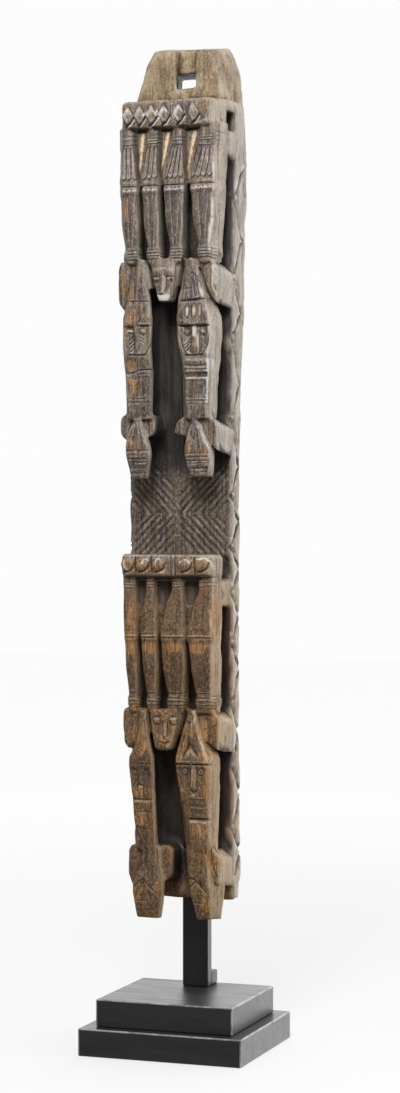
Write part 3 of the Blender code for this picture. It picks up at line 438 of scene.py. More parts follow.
def carve_small_head(face, x, top, wide, low, half_top, half_wide, half_low):
    """A small hanging head: hat with a notch, then worn bands across the face, each with a painted
    highlight.
    """
    half = half_wide - 1.5
    for share in (-1, -0.42, 0.5, 1):
        face.cut([(x + half_top * share, top - 6), (x + half * share, wide + 2)], 1.3, 0.7)
        face.glint([(x + half_top * share - 1.5, top - 8), (x + half * share - 1.5, wide + 4)],
                   1.3, 0.4)
    depth = wide - low
    for share, cut, light in ((0.03, 1.3, 0.5), (0.20, 0.7, 0.25), (0.36, 1.2, 0.8),
                              (0.47, 0.9, 0.7), (0.70, 0.9, 0.4), (0.88, 0.8, 0.3)):
        reach = half_wide + (half_low - half_wide) * share - 1.5
        face.line(x - reach, x + reach, wide - depth * share, 1.4, cut)
        face.glint([(x - reach * 0.9, wide - depth * share - 2.2),
                    (x + reach * 0.9, wide - depth * share - 2)], 1.4, light)


def carve_lowest_head(face, x, peak, low, half):
    """A head at the foot: a peaked brow, a nose and a mouth, all worn."""
    face.cut([(x - half, peak - 17), (x, peak), (x + half, peak - 17)], 2.2, 1.2)
    face.glint([(x - half, peak - 20), (x, peak - 3.5), (x + half, peak - 20)], 2, 0.4)
    face.cut([(x, peak - 10), (x, peak - 26)], 5, -1.2)
    for side in (-1, 1):
        face.dot(x + side * half * 0.48, peak - 20, 4, 0.9)
    face.line(x - half * 0.45, x + half * 0.45, peak - 32, 2, 1)
    face.line(x - half * 0.6, x + half * 0.6, low + 8, 1.6, 0.6)


def carve_herringbone(face):
    """A few freehand strokes that cross the gouged ones of the board's panel."""
    for start, end in (((-60, 838), (-26, 805)), ((-22, 838), (-12, 828)),
                       ((20, 770), (45, 742)), ((35, 835), (52, 852)),
                       ((-66, 770), (-40, 790)), ((-14, 800), (2, 786)),
                       ((-2, 795), (20, 812))):
        face.cut([start, end], 1.6, 1)


def carve_low_band(face):
    """Leaf-like bumps on the low band with painted highlights, dark hollows between, collars under
    it.
    """
    for x, highlit in ((-62.5, 0.3), (-39, 0.5), (-14, 0.5), (26.5, 0.6), (52, 0.3)):
        face.cut([(x - 4, 711), (x + 4, 713.5)], 17, -1.8)
        face.cut([(x - 6, 701.5), (x + 1, 702.5), (x + 7.5, 707), (x + 10, 715)], 3.4, 1.5)
        face.glint([(x - 1, 700.5), (x + 5, 702), (x + 10, 706.5)], 2.6, highlit)
    face.glint([(-67, 719), (-67.5, 713), (-65, 707), (-60, 704)], 3.2, 1.6)
    face.glint(arc(-34, 716, 4.5, 4.5, 40, 200, 7), 3.2, 1.7)
    face.glint(arc(-14, 714, 5, 7, 50, 190, 7), 3, 1.5)
    face.glint(arc(26, 711, 9, 8.5, 20, 150, 8), 2.8, 1.3)
    face.glint([(45, 721), (57, 721.5), (64, 716), (67, 708)], 3.2, 1.7)
    face.glint([(-14, 700.5), (-6, 701)], 3.4, 1.2)
    for x in (-51, -26.5, 39.5):
        face.cut([(x, 724), (x + 1, 702)], 3, 2)
    for x in (3, 10):
        face.cut([(x, 727), (x + 1, 697)], 2, 2.2)
    face.glint([(-72, 725.5), (68, 725.5)], 2.4, 0.5)
    # Cuts under the low band, painted dark as the shadow the band casts.
    for left, right in ((-53, -38), (-24, 1), (18, 46)):
        face.cut([(left, 692), (right, 692.5)], 6, 2)
    legs = (
        (-73.5, -54.5, (687, 683, 679)), (-38.5, -24, (688, 684, 679.5)),
        (2, 19, (688, 684, 679.5)), (44, 64, (694, 687, 681)),
    )
    for left, right, collar in legs:
        for z in collar:
            face.line(left, right, z, 1.6, 1.1, 0.5, (1.9, 1.4, 0.4))


def carve_lower_legs(face):
    """Woven lines, bead row, belt and ankle lines."""
    legs = (
        ((-72, -54), (-70.5, -49), (-63.5, -50.5)),
        ((-38.5, -24.5), (-44.5, -21.5), (-34.5, -21)),
        ((2, 18.5), (-13.5, 21.5), (-3.5, 21.5)),
        ((44, 65), (27.5, 64), (41, 63)),
    )
    random = np.random.RandomState(5)
    for (top_left, top_right), (left, right), (foot_left, foot_right) in legs:
        wide = right - left
        count = max(3, int(wide / 4.5))
        for i in range(count + 1):
            low = left + wide * i / count
            high = top_left + (top_right - top_left) * i / count
            face.cut([(high, 672), (low, 622)], 1.2, 0.3)
            if i == count:
                continue
            for j in range(17):
                share = (j + 0.5) / 17
                x = high + (low - high) * share + wide / count / 2
                face.dot(x + random.uniform(-0.7, 0.7), 670 - 47 * share
                         + random.uniform(-0.5, 0.5), 2, random.uniform(0.2, 0.8))
        beads = int(wide / 4.2)
        for i in range(beads):
            face.dot(left + wide * (i + 0.5) / beads, 617.5, 3, 0.8)
        face.line(left, right, 609.5, 1.9, -0.9)
        face.glint([(left, 609.5), (right, 609.5)], 1.7, 0.7)
        face.line(left, right, 606.5, 1.4, 0.9)
        for i in range(beads):
            x = left + wide * (i + 0.5) / beads
            face.cut([(x - 1.8, 599.5), (x, 602.5), (x + 1.8, 599.5), (x, 596.5),
                      (x - 1.8, 599.5)], 1.2, 0.6)
        for z in (526.5, 520, 514.5, 509):
            face.line(foot_left, foot_right, z, 1.6, 1, 0.4, (2.2, 1.4, 0.35))


def carve_lower_hats(face):
    """Lines of the hats, and the ring and peak over the right-hand brow."""
    for top, low in (((24, 470), (18, 438)), ((40, 470), (50, 438)),
                     ((33, 486), (20, 452)), ((35, 486), (47, 452)),
                     ((-42, 486), (-45, 450)), ((-39, 486), (-36, 450))):
        face.cut([top, low], 1.4, 0.8)
        face.glint([(top[0] + 1.6, top[1]), (low[0] + 1.6, low[1])], 1.4, 0.3)
    face.cut(arc(30, 490, 5.5, 7, 20, 300, 10), 2, 1.2)
    face.glint([(36.5, 500), (38.5, 491), (38, 484)], 3.4, 0.9)
    face.cut([(22, 436), (31, 456), (44, 436)], 3.4, 2)
    face.area([(25, 437), (31, 450), (30, 455), (26, 449)], 2.6, 1.6)
    face.glint([(26, 434.5), (33, 444), (41, 435.5)], 5, 0.4)
    face.glint([(44, 466), (50, 452), (61, 440)], 2.4, 0.9)


def carve_lower_animal(face):
    """Eyes, nose and mouth."""
    for x in (-19, 6.5):
        face.cut(arc(x, 484.5, 5.4, 4.6, 150, 400, 10), 2, 1.8)
        face.dot(x, 484.5, 5, -0.8)
        face.glint(arc(x, 487, 4.6, 2.6, 20, 160, 6), 2, 0.9)
        face.cut([(x - 5, 493), (x + 5, 492.5)], 1.8, 1.2)
    face.cut([(-10, 500), (-6, 494), (-2, 500)], 2, 1.2)
    face.cut([(-10, 484), (-8, 464)], 1.8, 1.3)
    face.cut([(-2.5, 484), (-3, 464)], 1.8, 1.3)
    face.glint([(-6, 482), (-5.6, 466)], 2.6, 0.4)
    face.dot(-6, 462, 6, 2)
    face.cut([(-12, 456), (-5, 453.5), (1, 456.5)], 2.4, 1.8)
    face.glint([(-1, 450.5), (1.5, 450.5)], 3.2, 1.2)
    face.line(-21, 3, 446, 1.8, 0.9)


def carve_lower_right_mask(face):
    """Brow, ringed eyes, nose and mouth, and the lines down the neck."""
    for left, right in ((9.5, 31.5), (37, 61.5)):
        face.line(left, right, 424, 3.2, 2.8, lip=(4, 2, 0.35))
    for x in (23, 48.5):
        face.cut(arc(x, 413.5, 4.6, 5.6, 0, 360, 12), 1.8, 1.6)
        face.dot(x, 413, 4, 1.4)
        face.glint(arc(x, 414.5, 4.6, 6, 40, 150, 6), 2, 0.9)
    face.cut([(37.5, 420), (37, 392)], 7, -1.4)
    face.glint([(36, 418), (35.6, 394)], 2.4, 0.5)
    face.cut([(32.5, 419), (32, 391)], 1.8, 1.3)
    face.cut([(42.5, 419), (41.5, 393)], 1.8, 1.3)
    face.cut([(34.5, 386.5), (38, 383.5), (41.5, 386)], 3.6, 2.2)
    face.glint([(37, 379.5), (39.5, 379)], 3.4, 1.6)
    face.cut([(13, 418), (18, 400), (24, 385)], 1.6, 1)
    for z in (374, 366, 359):
        face.line(30, 58, z, 1.4, 0.7)
        face.glint([(34, z + 2), (54, z + 2.2)], 1.8, 0.5)
    face.line(31.5, 60, 345.5, 3.2, 2.8)
    face.glint([(33, 341), (59, 340.5)], 2.6, 0.8)
    face.glint([(45, 337), (49, 322), (57, 330)], 3, 0.5)
    face.cut([(27, 350), (30, 325), (31, 306)], 2, 1.3)


def carve_lower_left_mask(face):
    """A much worn mask."""
    face.cut([(-48, 393), (-40, 391.5)], 2.2, 1.8)
    face.glint([(-46.5, 388.5), (-41.5, 388.5)], 2.6, 0.9)
    face.cut([(-49, 396), (-47, 374)], 1.8, 1.3)
    face.cut([(-39, 396), (-39, 374)], 1.8, 1.3)
    face.glint([(-42, 384), (-41, 374)], 2.4, 0.7)
    face.line(-55, -28, 371, 2.4, 2)
    face.glint([(-54, 367.5), (-29, 367)], 1.8, 0.5)
    face.line(-52, -28, 353, 1.8, 1.2)
    face.line(-58, -27, 423, 1.8, 0.9)
    face.cut([(-52, 330), (-45, 312), (-42, 301)], 1.8, 1.2)


def carve_brackets(face):
    """Cracks and lines on the brackets and the lowest heads."""
    face.cut([(28, 258.5), (34, 259.5), (40, 258)], 2.6, 2.4)
    face.cut([(62, 305), (63, 290), (66, 272), (71, 262)], 2, 2)
    face.cut([(-37, 300), (-35, 275), (-31, 256)], 1.8, 1)
    face.cut([(-20, 298), (-18, 275), (-13, 256)], 1.8, 1)
    face.cut([(-4, 301), (2, 299), (4, 284), (4, 270)], 2.4, -1.2)


def carve_right_side(side, edge):
    """Ankle and collar lines run on round the legs; the rim gets painted highlights in places."""
    for low, high in ((1157, 1171), (505, 527)):
        for z in np.arange(low, high, 4.5):
            side.cut([(-75, z), (-47, z - 2)], 1.6, 1)
    for z in (1338, 1332, 1326, 695, 687, 681):
        side.cut([(-75, z), (-52, z)], 1.6, 0.9)
    for top, low, width, strength in ((1300, 1255, 5, 0.6), (1240, 1168, 6, 1.1),
                                      (1150, 1100, 4, 0.7), (1010, 948, 6, 1.4),
                                      (1075, 1018, 4, 0.7), (925, 880, 4, 0.8),
                                      (660, 610, 4, 0.5), (470, 430, 4, 0.6)):
        edge.glint([(-70, top), (-69, (top + low) / 2), (-71, low)], width, strength)


def carve_board_side(face, lip, low_lip):
    """A zigzag of broad facets painted dark as shade and thin cuts by turns, each with a painted
    highlight on its lip.
    """
    for number, (upper, lower) in enumerate(zip(ZIGZAG[:-1], ZIGZAG[1:])):
        broad = number % 2 == 1
        start, end = (-14, 18) if broad else (18, -14)
        middle, bend = (start + end) / 2, upper - (upper - lower) * 0.62
        face.cut([(start, upper - 2), (middle, bend), (end, lower + 3)],
                 8.5 if broad else 4.5, 3.2 if broad else 2.4)
        face.glint([(start, upper + 6), (middle, bend + 8), (end, lower + 11)], 5, lip)
        face.glint([(start, upper - 9), (middle, bend - 6)], 3, low_lip)


def all_carving():
    """The strokes of every face."""
    faces = [Carving() for _ in FACES]
    front = faces[FRONT]
    for carve_part in (carve_top_band, carve_upper_legs, carve_upper_hats, carve_upper_animal,
                       carve_upper_right_mask, carve_upper_right_neck, carve_upper_left_mask,
                       carve_low_band, carve_lower_legs, carve_lower_hats, carve_lower_animal,
                       carve_lower_right_mask, carve_lower_left_mask, carve_brackets):
        carve_part(front)
    carve_small_head(front, -50, 926, 880, 842, 4, 20, 14.5)
    carve_small_head(front, 43, 923, 875, 843, 5, 20.5, 15.5)
    carve_lowest_head(front, -41, 256, 202, 19)
    carve_lowest_head(front, 42, 256, 203, 17)
    carve_herringbone(faces[BOARD])
    faces[TENON].cut([(3.5, 1409), (3.5, 1398), (4.2, 1388)], 1.3, 2)
    faces[TENON].area([(6, 1409), (13, 1409), (10, 1403)], 2, 1)
    carve_right_side(faces[RIGHT_SIDE], faces[OUTER_EDGE])
    carve_board_side(faces[BOARD_RIGHT], 1, 0.6)
    carve_board_side(faces[BOARD_LEFT], 0.3, 0.2)
    return faces


# ---------------------------------------------------------------- the carved column

def mesh_arrays(mesh):
    """Points and their normals."""
    points = np.empty(len(mesh.vertices) * 3)
    mesh.vertices.foreach_get("co", points)
    normals = np.empty(len(mesh.vertices) * 3)
    mesh.vertex_normals.foreach_get("vector", normals)
    return points.reshape(-1, 3), normals.reshape(-1, 3)


def write_points(mesh, points):
    """Put the points back into the mesh."""
    mesh.vertices.foreach_set("co", points.ravel())
    mesh.update()


def applied(item, name):
    """The object's mesh with its modifiers applied, as a mesh of its own."""
    graph = bpy.context.evaluated_depsgraph_get()
    mesh = bpy.data.meshes.new_from_object(item.evaluated_get(graph))
    mesh.name = name
    return mesh


def face_shares(points, normals):
    """How far each point belongs to each carved face."""
    x, y, z = points.T
    toward = step_between(0.20, 0.55, -normals[:, 1])
    right = step_between(0.35, 0.7, normals[:, 0])
    left = step_between(0.35, 0.7, -normals[:, 0])
    figures = step_between(-0.052, -0.058, y)
    board = step_between(-0.030, -0.024, y) * (z < 1.39)
    return {
        FRONT: toward * figures * (z < 1.395),
        BOARD: toward * board * (z < 0.90),
        TENON: toward * (z > 1.385),
        RIGHT_SIDE: right * step_between(-0.040, -0.046, y),
        OUTER_EDGE: right * step_between(-0.040, -0.046, y) * (x > 0.045),
        BOARD_RIGHT: right * step_between(-0.024, -0.018, y),
        BOARD_LEFT: left * step_between(-0.024, -0.018, y),
    }


def carve(points, normals, faces):
    """Move the points to the bottom of the cuts; returns the points, the cuts' darkening for dirty
    and shaded wood, and the painted highlights.
    """
    x, y, z = points.T
    wobble_x = 0.0006 * lattice_noise(points, (0.02, 0.02, 0.02), 11)
    wobble_z = 0.0006 * lattice_noise(points, (0.012, 0.02, 0.02), 12)
    moved = points.copy()
    dirt_and_shade = np.zeros(len(points))
    painted_highlight = np.zeros(len(points))
    ways = {FRONT: (x, 1, 1.0), BOARD: (x, 1, 1.0), TENON: (x, 1, 1.0),
            RIGHT_SIDE: (y, 0, -1.0), OUTER_EDGE: (y, 0, -1.0),
            BOARD_RIGHT: (y, 0, -1.0), BOARD_LEFT: (y, 0, 1.0)}
    for key, share in face_shares(points, normals).items():
        across, axis, sign = ways[key]
        chosen = np.nonzero(share > 0.01)[0]
        if len(chosen) == 0 or not (faces[key].strokes or faces[key].glints):
            continue
        depth, groove, glint = faces[key].relief(across[chosen] + wobble_x[chosen],
                                                 z[chosen] + wobble_z[chosen])
        uneven = 1.0 + 0.45 * lattice_noise(points[chosen], (0.008, 0.008, 0.012), 13)
        moved[chosen, axis] += sign * MM * depth * uneven * share[chosen]
        dirt_and_shade[chosen] = np.maximum(dirt_and_shade[chosen], groove * share[chosen])
        broken = np.clip(1.0 + 0.9 * lattice_noise(points[chosen], (0.005, 0.005, 0.005), 14),
                         0.0, 1.3)
        painted_highlight[chosen] = np.maximum(painted_highlight[chosen], glint * share[chosen] * broken)
    return moved, dirt_and_shade, painted_highlight


def neighbour_means(points, edges):
    """The mean of each point's neighbours."""
    count = len(points)
    a, b = edges.T
    degree = np.maximum(np.bincount(a, minlength=count) + np.bincount(b, minlength=count), 1)
    total = np.empty_like(points)
    for axis in range(3):
        total[:, axis] = (np.bincount(a, points[b, axis], count)
                          + np.bincount(b, points[a, axis], count))
    return total / degree[:, None]


def worn_round(points, edges):
    """Wear the edges round, most on the figures and least on the board's carving."""
    figures = step_between(-0.048, -0.054, points[:, 1])
    tenon = (points[:, 2] > 1.392) * (1.0 - figures)
    steps = np.where(tenon > 0.5, ROUND_TENON,
                     ROUND_BOARD + (ROUND_FIGURES - ROUND_BOARD) * figures)
    for step in range(ROUND_FIGURES):
        share = 0.5 * np.clip(steps - step, 0.0, 1.0)
        points = points + share[:, None] * (neighbour_means(points, edges) - points)
    return points


def warp(points):
    """Bend the straight edges a little, as a hand-held adze leaves them."""
    moved = points.copy()
    for axis, seed, reach in ((0, 51, 0.0008), (2, 53, 0.0009), (1, 55, 0.0004)):
        moved[:, axis] += reach * layered_noise(points, (0.026, 0.040, 0.032), seed, 2)
    return moved


def roughen(points, normals, edges):
    """Unevenness of the adze and of age: hollows, grain, checks and chips."""
    x, y, z = points.T
    side = np.clip(np.abs(normals[:, 0]) * 1.4 - 0.3, 0.0, 1.0)
    behind = step_between(-0.030, -0.020, y)
    hollows = layered_noise(points, (0.013, 0.016, 0.022), 21, 3) * 0.00045
    grain = layered_noise(points, (0.0026, 0.0026, 0.045), 31, 2, 0.6)
    ridges = 1.0 - 2.0 * np.abs(lattice_noise(points, (0.0045, 0.0045, 0.075), 41))
    pits = np.clip(lattice_noise(points, (0.0030, 0.0030, 0.0040), 43) - 0.25, 0.0, 1.0)
    grain_depth = 0.00012 + 0.00022 * behind + 0.00020 * side * behind
    shift = hollows + grain * grain_depth + ridges * 0.00028 * behind - pits * 0.00040
    convex = np.clip(curvature(points, normals, edges, 8) / 0.0005, 0.0, 1.0)
    chips = step_between(0.15, 0.75, layered_noise(points, (0.007, 0.007, 0.011), 61, 2))
    shift -= convex * chips * 0.0013
    return points + normals * shift[:, None]


def curvature(points, normals, edges, steps):
    """How far each point stands above its smoothed surroundings, in metres."""
    smooth = points
    for _ in range(steps):
        smooth = 0.4 * smooth + 0.6 * neighbour_means(smooth, edges)
    return np.einsum("ij,ij->i", points - smooth, normals)


def mesh_edges(mesh):
    """Pairs of points that share an edge."""
    edges = np.empty(len(mesh.edges) * 2, np.int32)
    mesh.edges.foreach_get("vertices", edges)
    return edges.reshape(-1, 2)


def openness(mesh, points, normals, reach=0.06):
    """Share of the sky that each point sees within reach, from 0, shut in, to 1, open."""
    tree = BVHTree.FromPolygons(points.tolist(), [tuple(p.vertices) for p in mesh.polygons])
    random = np.random.RandomState(7)
    around = random.normal(size=(RAYS, 3))
    around /= np.linalg.norm(around, axis=1)[:, None]
    seen = np.zeros(len(points))
    for direction in around:
        facing = np.where((normals @ direction) < 0.0, -1.0, 1.0)
        ways = direction[None, :] * facing[:, None] + normals * 0.35
        ways /= np.linalg.norm(ways, axis=1)[:, None]
        starts = points + normals * 0.0008
        cast = tree.ray_cast
        hits = np.array([1.0 if cast(Vector(s), Vector(w), reach)[0] is None else 0.0
                         for s, w in zip(starts.tolist(), ways.tolist())])
        seen += hits
    return seen / RAYS


def make_column():
    """The carving: the CAD column remeshed, worn round, carved, aged and thinned."""
    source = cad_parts["carved_column"]
    item = bpy.data.objects.new("carved_wood_column", source.data.copy())
    bpy.context.scene.collection.objects.link(item)
    item.data.materials.clear()
    remesh = item.modifiers.new("remesh", "REMESH")
    remesh.mode = "VOXEL"
    remesh.voxel_size = VOXEL
    mesh = applied(item, "carved_wood_column")
    item.modifiers.clear()
    faces = all_carving()
    points, _ = mesh_arrays(mesh)
    edges = mesh_edges(mesh)
    write_points(mesh, warp(worn_round(points, edges)))
    points, normals = mesh_arrays(mesh)
    write_points(mesh, roughen(points, normals, edges))
    points, normals = mesh_arrays(mesh)
    write_points(mesh, carve(points, normals, faces)[0])
    item.data = mesh
    thin_out(item)
    measure(item.data, faces)
    return item


def thin_out(item):
    """Bring the mesh down to its number of triangles, no higher than the CAD reaches."""
    triangles = sum(len(p.vertices) - 2 for p in item.data.polygons)
    keep_fine(item, *mesh_arrays(item.data))
    thin = item.modifiers.new("thin", "DECIMATE")
    thin.vertex_group = "thin"
    thin.vertex_group_factor = 1.0
    thin.ratio = min(1.0, TRIANGLES / triangles)
    thin.use_collapse_triangulate = True
    mesh = applied(item, "carved_wood_column")
    item.modifiers.clear()
    item.data = mesh
    mesh.shade_smooth()
    points, _ = mesh_arrays(mesh)
    points[:, 2] = np.minimum(points[:, 2], CAD_BOX[1][2])
    write_points(mesh, points)


def measure(mesh, faces):
    """Store on each point what the wood's material shows: cuts, wear, form, stains, painted light
    and shade.
    """
    points, normals = mesh_arrays(mesh)
    edges = mesh_edges(mesh)
    _, dirt_and_shade, painted_highlight = carve(points, normals, faces)
    measures = {
        "groove": np.clip(dirt_and_shade / 1.2, 0.0, 1.0),
        "painted_highlight": np.clip(painted_highlight, 0.0, 1.0),
        "edge": np.clip(curvature(points, normals, edges, 3) / 0.0005, -1, 1),
        "form": np.clip(curvature(points, normals, edges, 30) / 0.0020, -1, 1),
        "open": openness(mesh, points, normals),
        "side": step_between(0.35, 0.8, normals[:, 0]),
        "bare": bare_wood(points, normals),
        "pale": pale_strips(points),
        "grime": grime(points),
        "soot_and_shade": soot_and_shade(points, normals),
    }
    for name, values in measures.items():
        attribute = mesh.attributes.new(name, "FLOAT", "POINT")
        attribute.data.foreach_set("value", values.astype(np.float32))


def keep_fine(item, points, normals):
    """Mark how strongly each part may be thinned: the carved front least, hollows most."""
    x, y, z = points.T
    seen = (normals[:, 1] < 0.35) & (normals[:, 0] > -0.9)
    levels = np.full(len(points), 0.95)
    levels[(y > -0.050) & (normals[:, 1] < 0.2) & (np.abs(normals[:, 0]) > 0.5)] = 0.80
    levels[(y < 0.030) & (z > 0.71) & (z < 0.87) & (normals[:, 1] < -0.3)] = 0.45
    levels[(z > 1.385) & (normals[:, 1] < 0.2)] = 0.70
    levels[(y < -0.056) & seen] = 0.20
    group = item.vertex_groups.new(name="thin")
    for level in np.unique(levels):
        group.add(np.nonzero(levels == level)[0].tolist(), float(level), "REPLACE")


def bare_wood(points, normals):
    """Where the dark surface is worn or broken off the front."""
    x, y, z = points.T * 1000.0
    frayed = 0.55 * layered_noise(points, (0.006, 0.006, 0.010), 71, 3)
    total = np.zeros(len(points))
    for middle_x, middle_z, half_x, half_z in PATCHES:
        reach = np.sqrt(((x - middle_x) / half_x) ** 2 + ((z - middle_z) / half_z) ** 2)
        total = np.maximum(total, step_between(1.25, 0.75, reach + frayed))
    total *= step_between(-46.0, -52.0, y)
    # The legs' right-hand sides and the web between them.
    flank = (normals[:, 0] > 0.4) * (y > -73.5) * (y < -50.0) * (x < 40.0)
    web = (normals[:, 1] < -0.5) * (np.abs(y + 56.5) < 3.5) * (x > -55.0) * (x < 45.0)
    hollow = np.maximum(flank, web) * step_between(1262.0, 1290.0, z) * (z < 1344.0)
    return np.maximum(total, hollow * 0.6 * step_between(-0.4, 0.4, frayed))


def grime(points):
    """Where the patina is thickest on the front."""
    x, y, z = points.T * 1000.0
    frayed = 0.45 * layered_noise(points, (0.007, 0.007, 0.014), 75, 3)
    total = np.zeros(len(points))
    for middle_x, middle_z, half_x, half_z in GRIME:
        reach = np.maximum(np.abs(x - middle_x) / half_x, np.abs(z - middle_z) / half_z)
        total = np.maximum(total, step_between(1.15, 0.75, reach + frayed))
    return total * step_between(-46.0, -52.0, y)


def pale_strips(points):
    """Narrow near-white strips on the web, left of three of the legs: painted light on a recessed
    web.
    """
    x, y, z = points.T * 1000.0
    frayed = layered_noise(points, (0.003, 0.003, 0.008), 73, 2)
    total = np.zeros(len(points))
    for top, lean in ((-46.0, 0.10), (-7.0, 0.21), (34.0, 0.21)):
        away = np.abs(x - top + (1335.0 - z) * lean)
        half = 0.9 + 1.5 * step_between(1285.0, 1335.0, z)
        total = np.maximum(total, step_between(half + 0.8, half - 0.8, away + 0.7 * frayed))
    total *= (np.abs(y + 56.5) < 3.0) * step_between(1280.0, 1300.0, z) * (z < 1343.0)
    return total


def soot_and_shade(points, normals):
    """Painted shade and sooty patina in the hollows between and behind the figures and in the peg
    hole, not on the panel.
    """
    x, y, z = points.T * 1000.0
    deep = step_between(-58.0, -50.0, y)
    outer = step_between(0.6, 0.85, np.abs(normals[:, 0])) * step_between(-24.0, -20.0, y)
    panel = step_between(722.0, 732.0, z) * step_between(864.0, 832.0, z)
    ends = np.maximum(step_between(1372.0, 1384.0, z), step_between(262.0, 240.0, z))
    behind = step_between(-0.2, 0.3, normals[:, 1]) * step_between(-12.0, -6.0, y)
    flank = step_between(0.4, 0.8, np.abs(normals[:, 0])) * step_between(52.0, 58.0, np.abs(x))
    keep = (1.0 - outer) * (1.0 - panel) * (1.0 - ends) * (1.0 - behind) * (1.0 - flank)
    between_legs = (x < 50.0) * (((z > 1150.0) * (z < 1345.0)) + ((z > 500.0) * (z < 695.0)))
    fluted = (x < 50.0) * step_between(1262.0, 1285.0, z) * (z < 1345.0)
    hollows = deep * keep * (1.0 - 0.55 * between_legs) * (1.0 - 0.4 * fluted)
    shaded = step_between(0.2, 0.6, normals[:, 0]) * step_between(-71.0, -66.0, y) * (x < 50.0)
    shaded = shaded * np.maximum(0.75 * fluted, 0.35 * between_legs)
    peg_hole = step_between(20.0, 17.0, np.maximum(np.abs(x - 2.0) - 14.0, np.abs(z - 1423.0)))
    inside = 0.70 * peg_hole * step_between(0.6, 0.4, np.abs(normals[:, 1]))
    return np.maximum(np.maximum(hollows, shaded), inside)


# ---------------------------------------------------------------- materials

class Nodes:
    """Short ways to build the nodes of a material or of the world."""

    def __init__(self, owner):
        owner.use_nodes = True
        self.tree = owner.node_tree
        self.shader = self.tree.nodes.get("Principled BSDF")
        self.places = self.add("ShaderNodeTexCoord").outputs

    def add(self, kind, **settings):
        node = self.tree.nodes.new(kind)
        for key, value in settings.items():
            setattr(node, key, value)
        return node

    def put(self, socket, value):
        if isinstance(value, bpy.types.NodeSocket):
            self.tree.links.new(value, socket)
        else:
            socket.default_value = value

    def attribute(self, name):
        return self.add("ShaderNodeAttribute", attribute_name=name).outputs["Fac"]

    def math(self, operation, *values):
        node = self.add("ShaderNodeMath", operation=operation)
        for socket, value in zip(node.inputs, values):
            self.put(socket, value)
        return node.outputs[0]

    def times(self, a, b):
        return self.math("MULTIPLY", a, b)

    def band(self, value, low, high, start=0.0, end=1.0):
        """Map low..high to start..end with a smooth, clamped step."""
        node = self.add("ShaderNodeMapRange", interpolation_type="SMOOTHSTEP")
        for socket, number in zip(node.inputs, (value, low, high, start, end)):
            self.put(socket, number)
        return node.outputs[0]

    def noise(self, scale, detail=3.0, roughness=0.6, shift=0.0):
        """Noise in object space; scale is cells per metre in X, Y and Z."""
        mapping = self.add("ShaderNodeMapping")
        self.put(mapping.inputs["Vector"], self.places["Object"])
        mapping.inputs["Scale"].default_value = scale
        mapping.inputs["Location"].default_value = (shift, shift * 0.7, shift * 0.3)
        node = self.add("ShaderNodeTexNoise")
        self.put(node.inputs["Vector"], mapping.outputs[0])
        node.inputs["Scale"].default_value = 1.0
        node.inputs["Detail"].default_value = detail
        node.inputs["Roughness"].default_value = roughness
        return node.outputs["Fac"]

    def mix(self, share, a, b, kind="MIX"):
        node = self.add("ShaderNodeMix", data_type="RGBA", blend_type=kind)
        self.put(node.inputs["Factor"], share)
        self.put(node.inputs[6], a)
        self.put(node.inputs[7], b)
        return node.outputs[2]

    def finish(self, base, roughness, specular, height, distance, strength):
        """Link the colour, the roughness and a bump to the shader."""
        self.put(self.shader.inputs["Base Color"], base)
        self.put(self.shader.inputs["Roughness"], roughness)
        self.shader.inputs["Specular IOR Level"].default_value = specular
        bump = self.add("ShaderNodeBump")
        bump.inputs["Distance"].default_value = distance
        bump.inputs["Strength"].default_value = strength
        self.put(bump.inputs["Height"], height)
        self.put(self.shader.inputs["Normal"], bump.outputs[0])


def colour(red, green, blue):
    """A colour given as it looks on a screen, 0 to 255."""
    linear = []
    for value in (red, green, blue):
        share = value / 255.0
        linear.append(share / 12.92 if share <= 0.04045 else ((share + 0.055) / 1.055) ** 2.4)
    return (*linear, 1.0)


class Wood(Nodes):
    """Nodes of the carving's wood: the noises and masks that its layers share."""

    def __init__(self, owner):
        super().__init__(owner)
        place = self.add("ShaderNodeSeparateXYZ")
        self.put(place.inputs[0], self.places["Object"])
        self.height, self.depth = place.outputs["Z"], place.outputs["Y"]
        self.form, self.side = self.attribute("form"), self.attribute("side")
        self.fibre = self.noise((620.0, 620.0, 26.0), 4.0, 0.65)
        self.streak = self.noise((210.0, 210.0, 11.0), 4.0, 0.65, shift=3.0)
        self.speckle = self.noise((640.0, 640.0, 420.0), 2.0, 0.7, shift=5.0)
        self.crust = self.noise((400.0, 400.0, 210.0), 4.0, 0.72, shift=9.0)
        self.blotch = self.noise((62.0, 62.0, 26.0), 4.0, 0.62, shift=7.0)
        # The lower tier is warmer; behind, the change of colour is spread out and weaker.
        wobble = self.math("MULTIPLY_ADD", self.blotch, 0.4, self.height)
        self.low = self.mix(self.band(self.depth, -0.024, 0.010),
                            self.band(self.height, 0.74, 0.66),
                            self.times(self.band(wobble, 1.25, 0.60), 0.6))

    def tone(self, above, below):
        """A colour for the upper tier and one for the lower tier."""
        return self.mix(self.low, colour(*above), colour(*below))


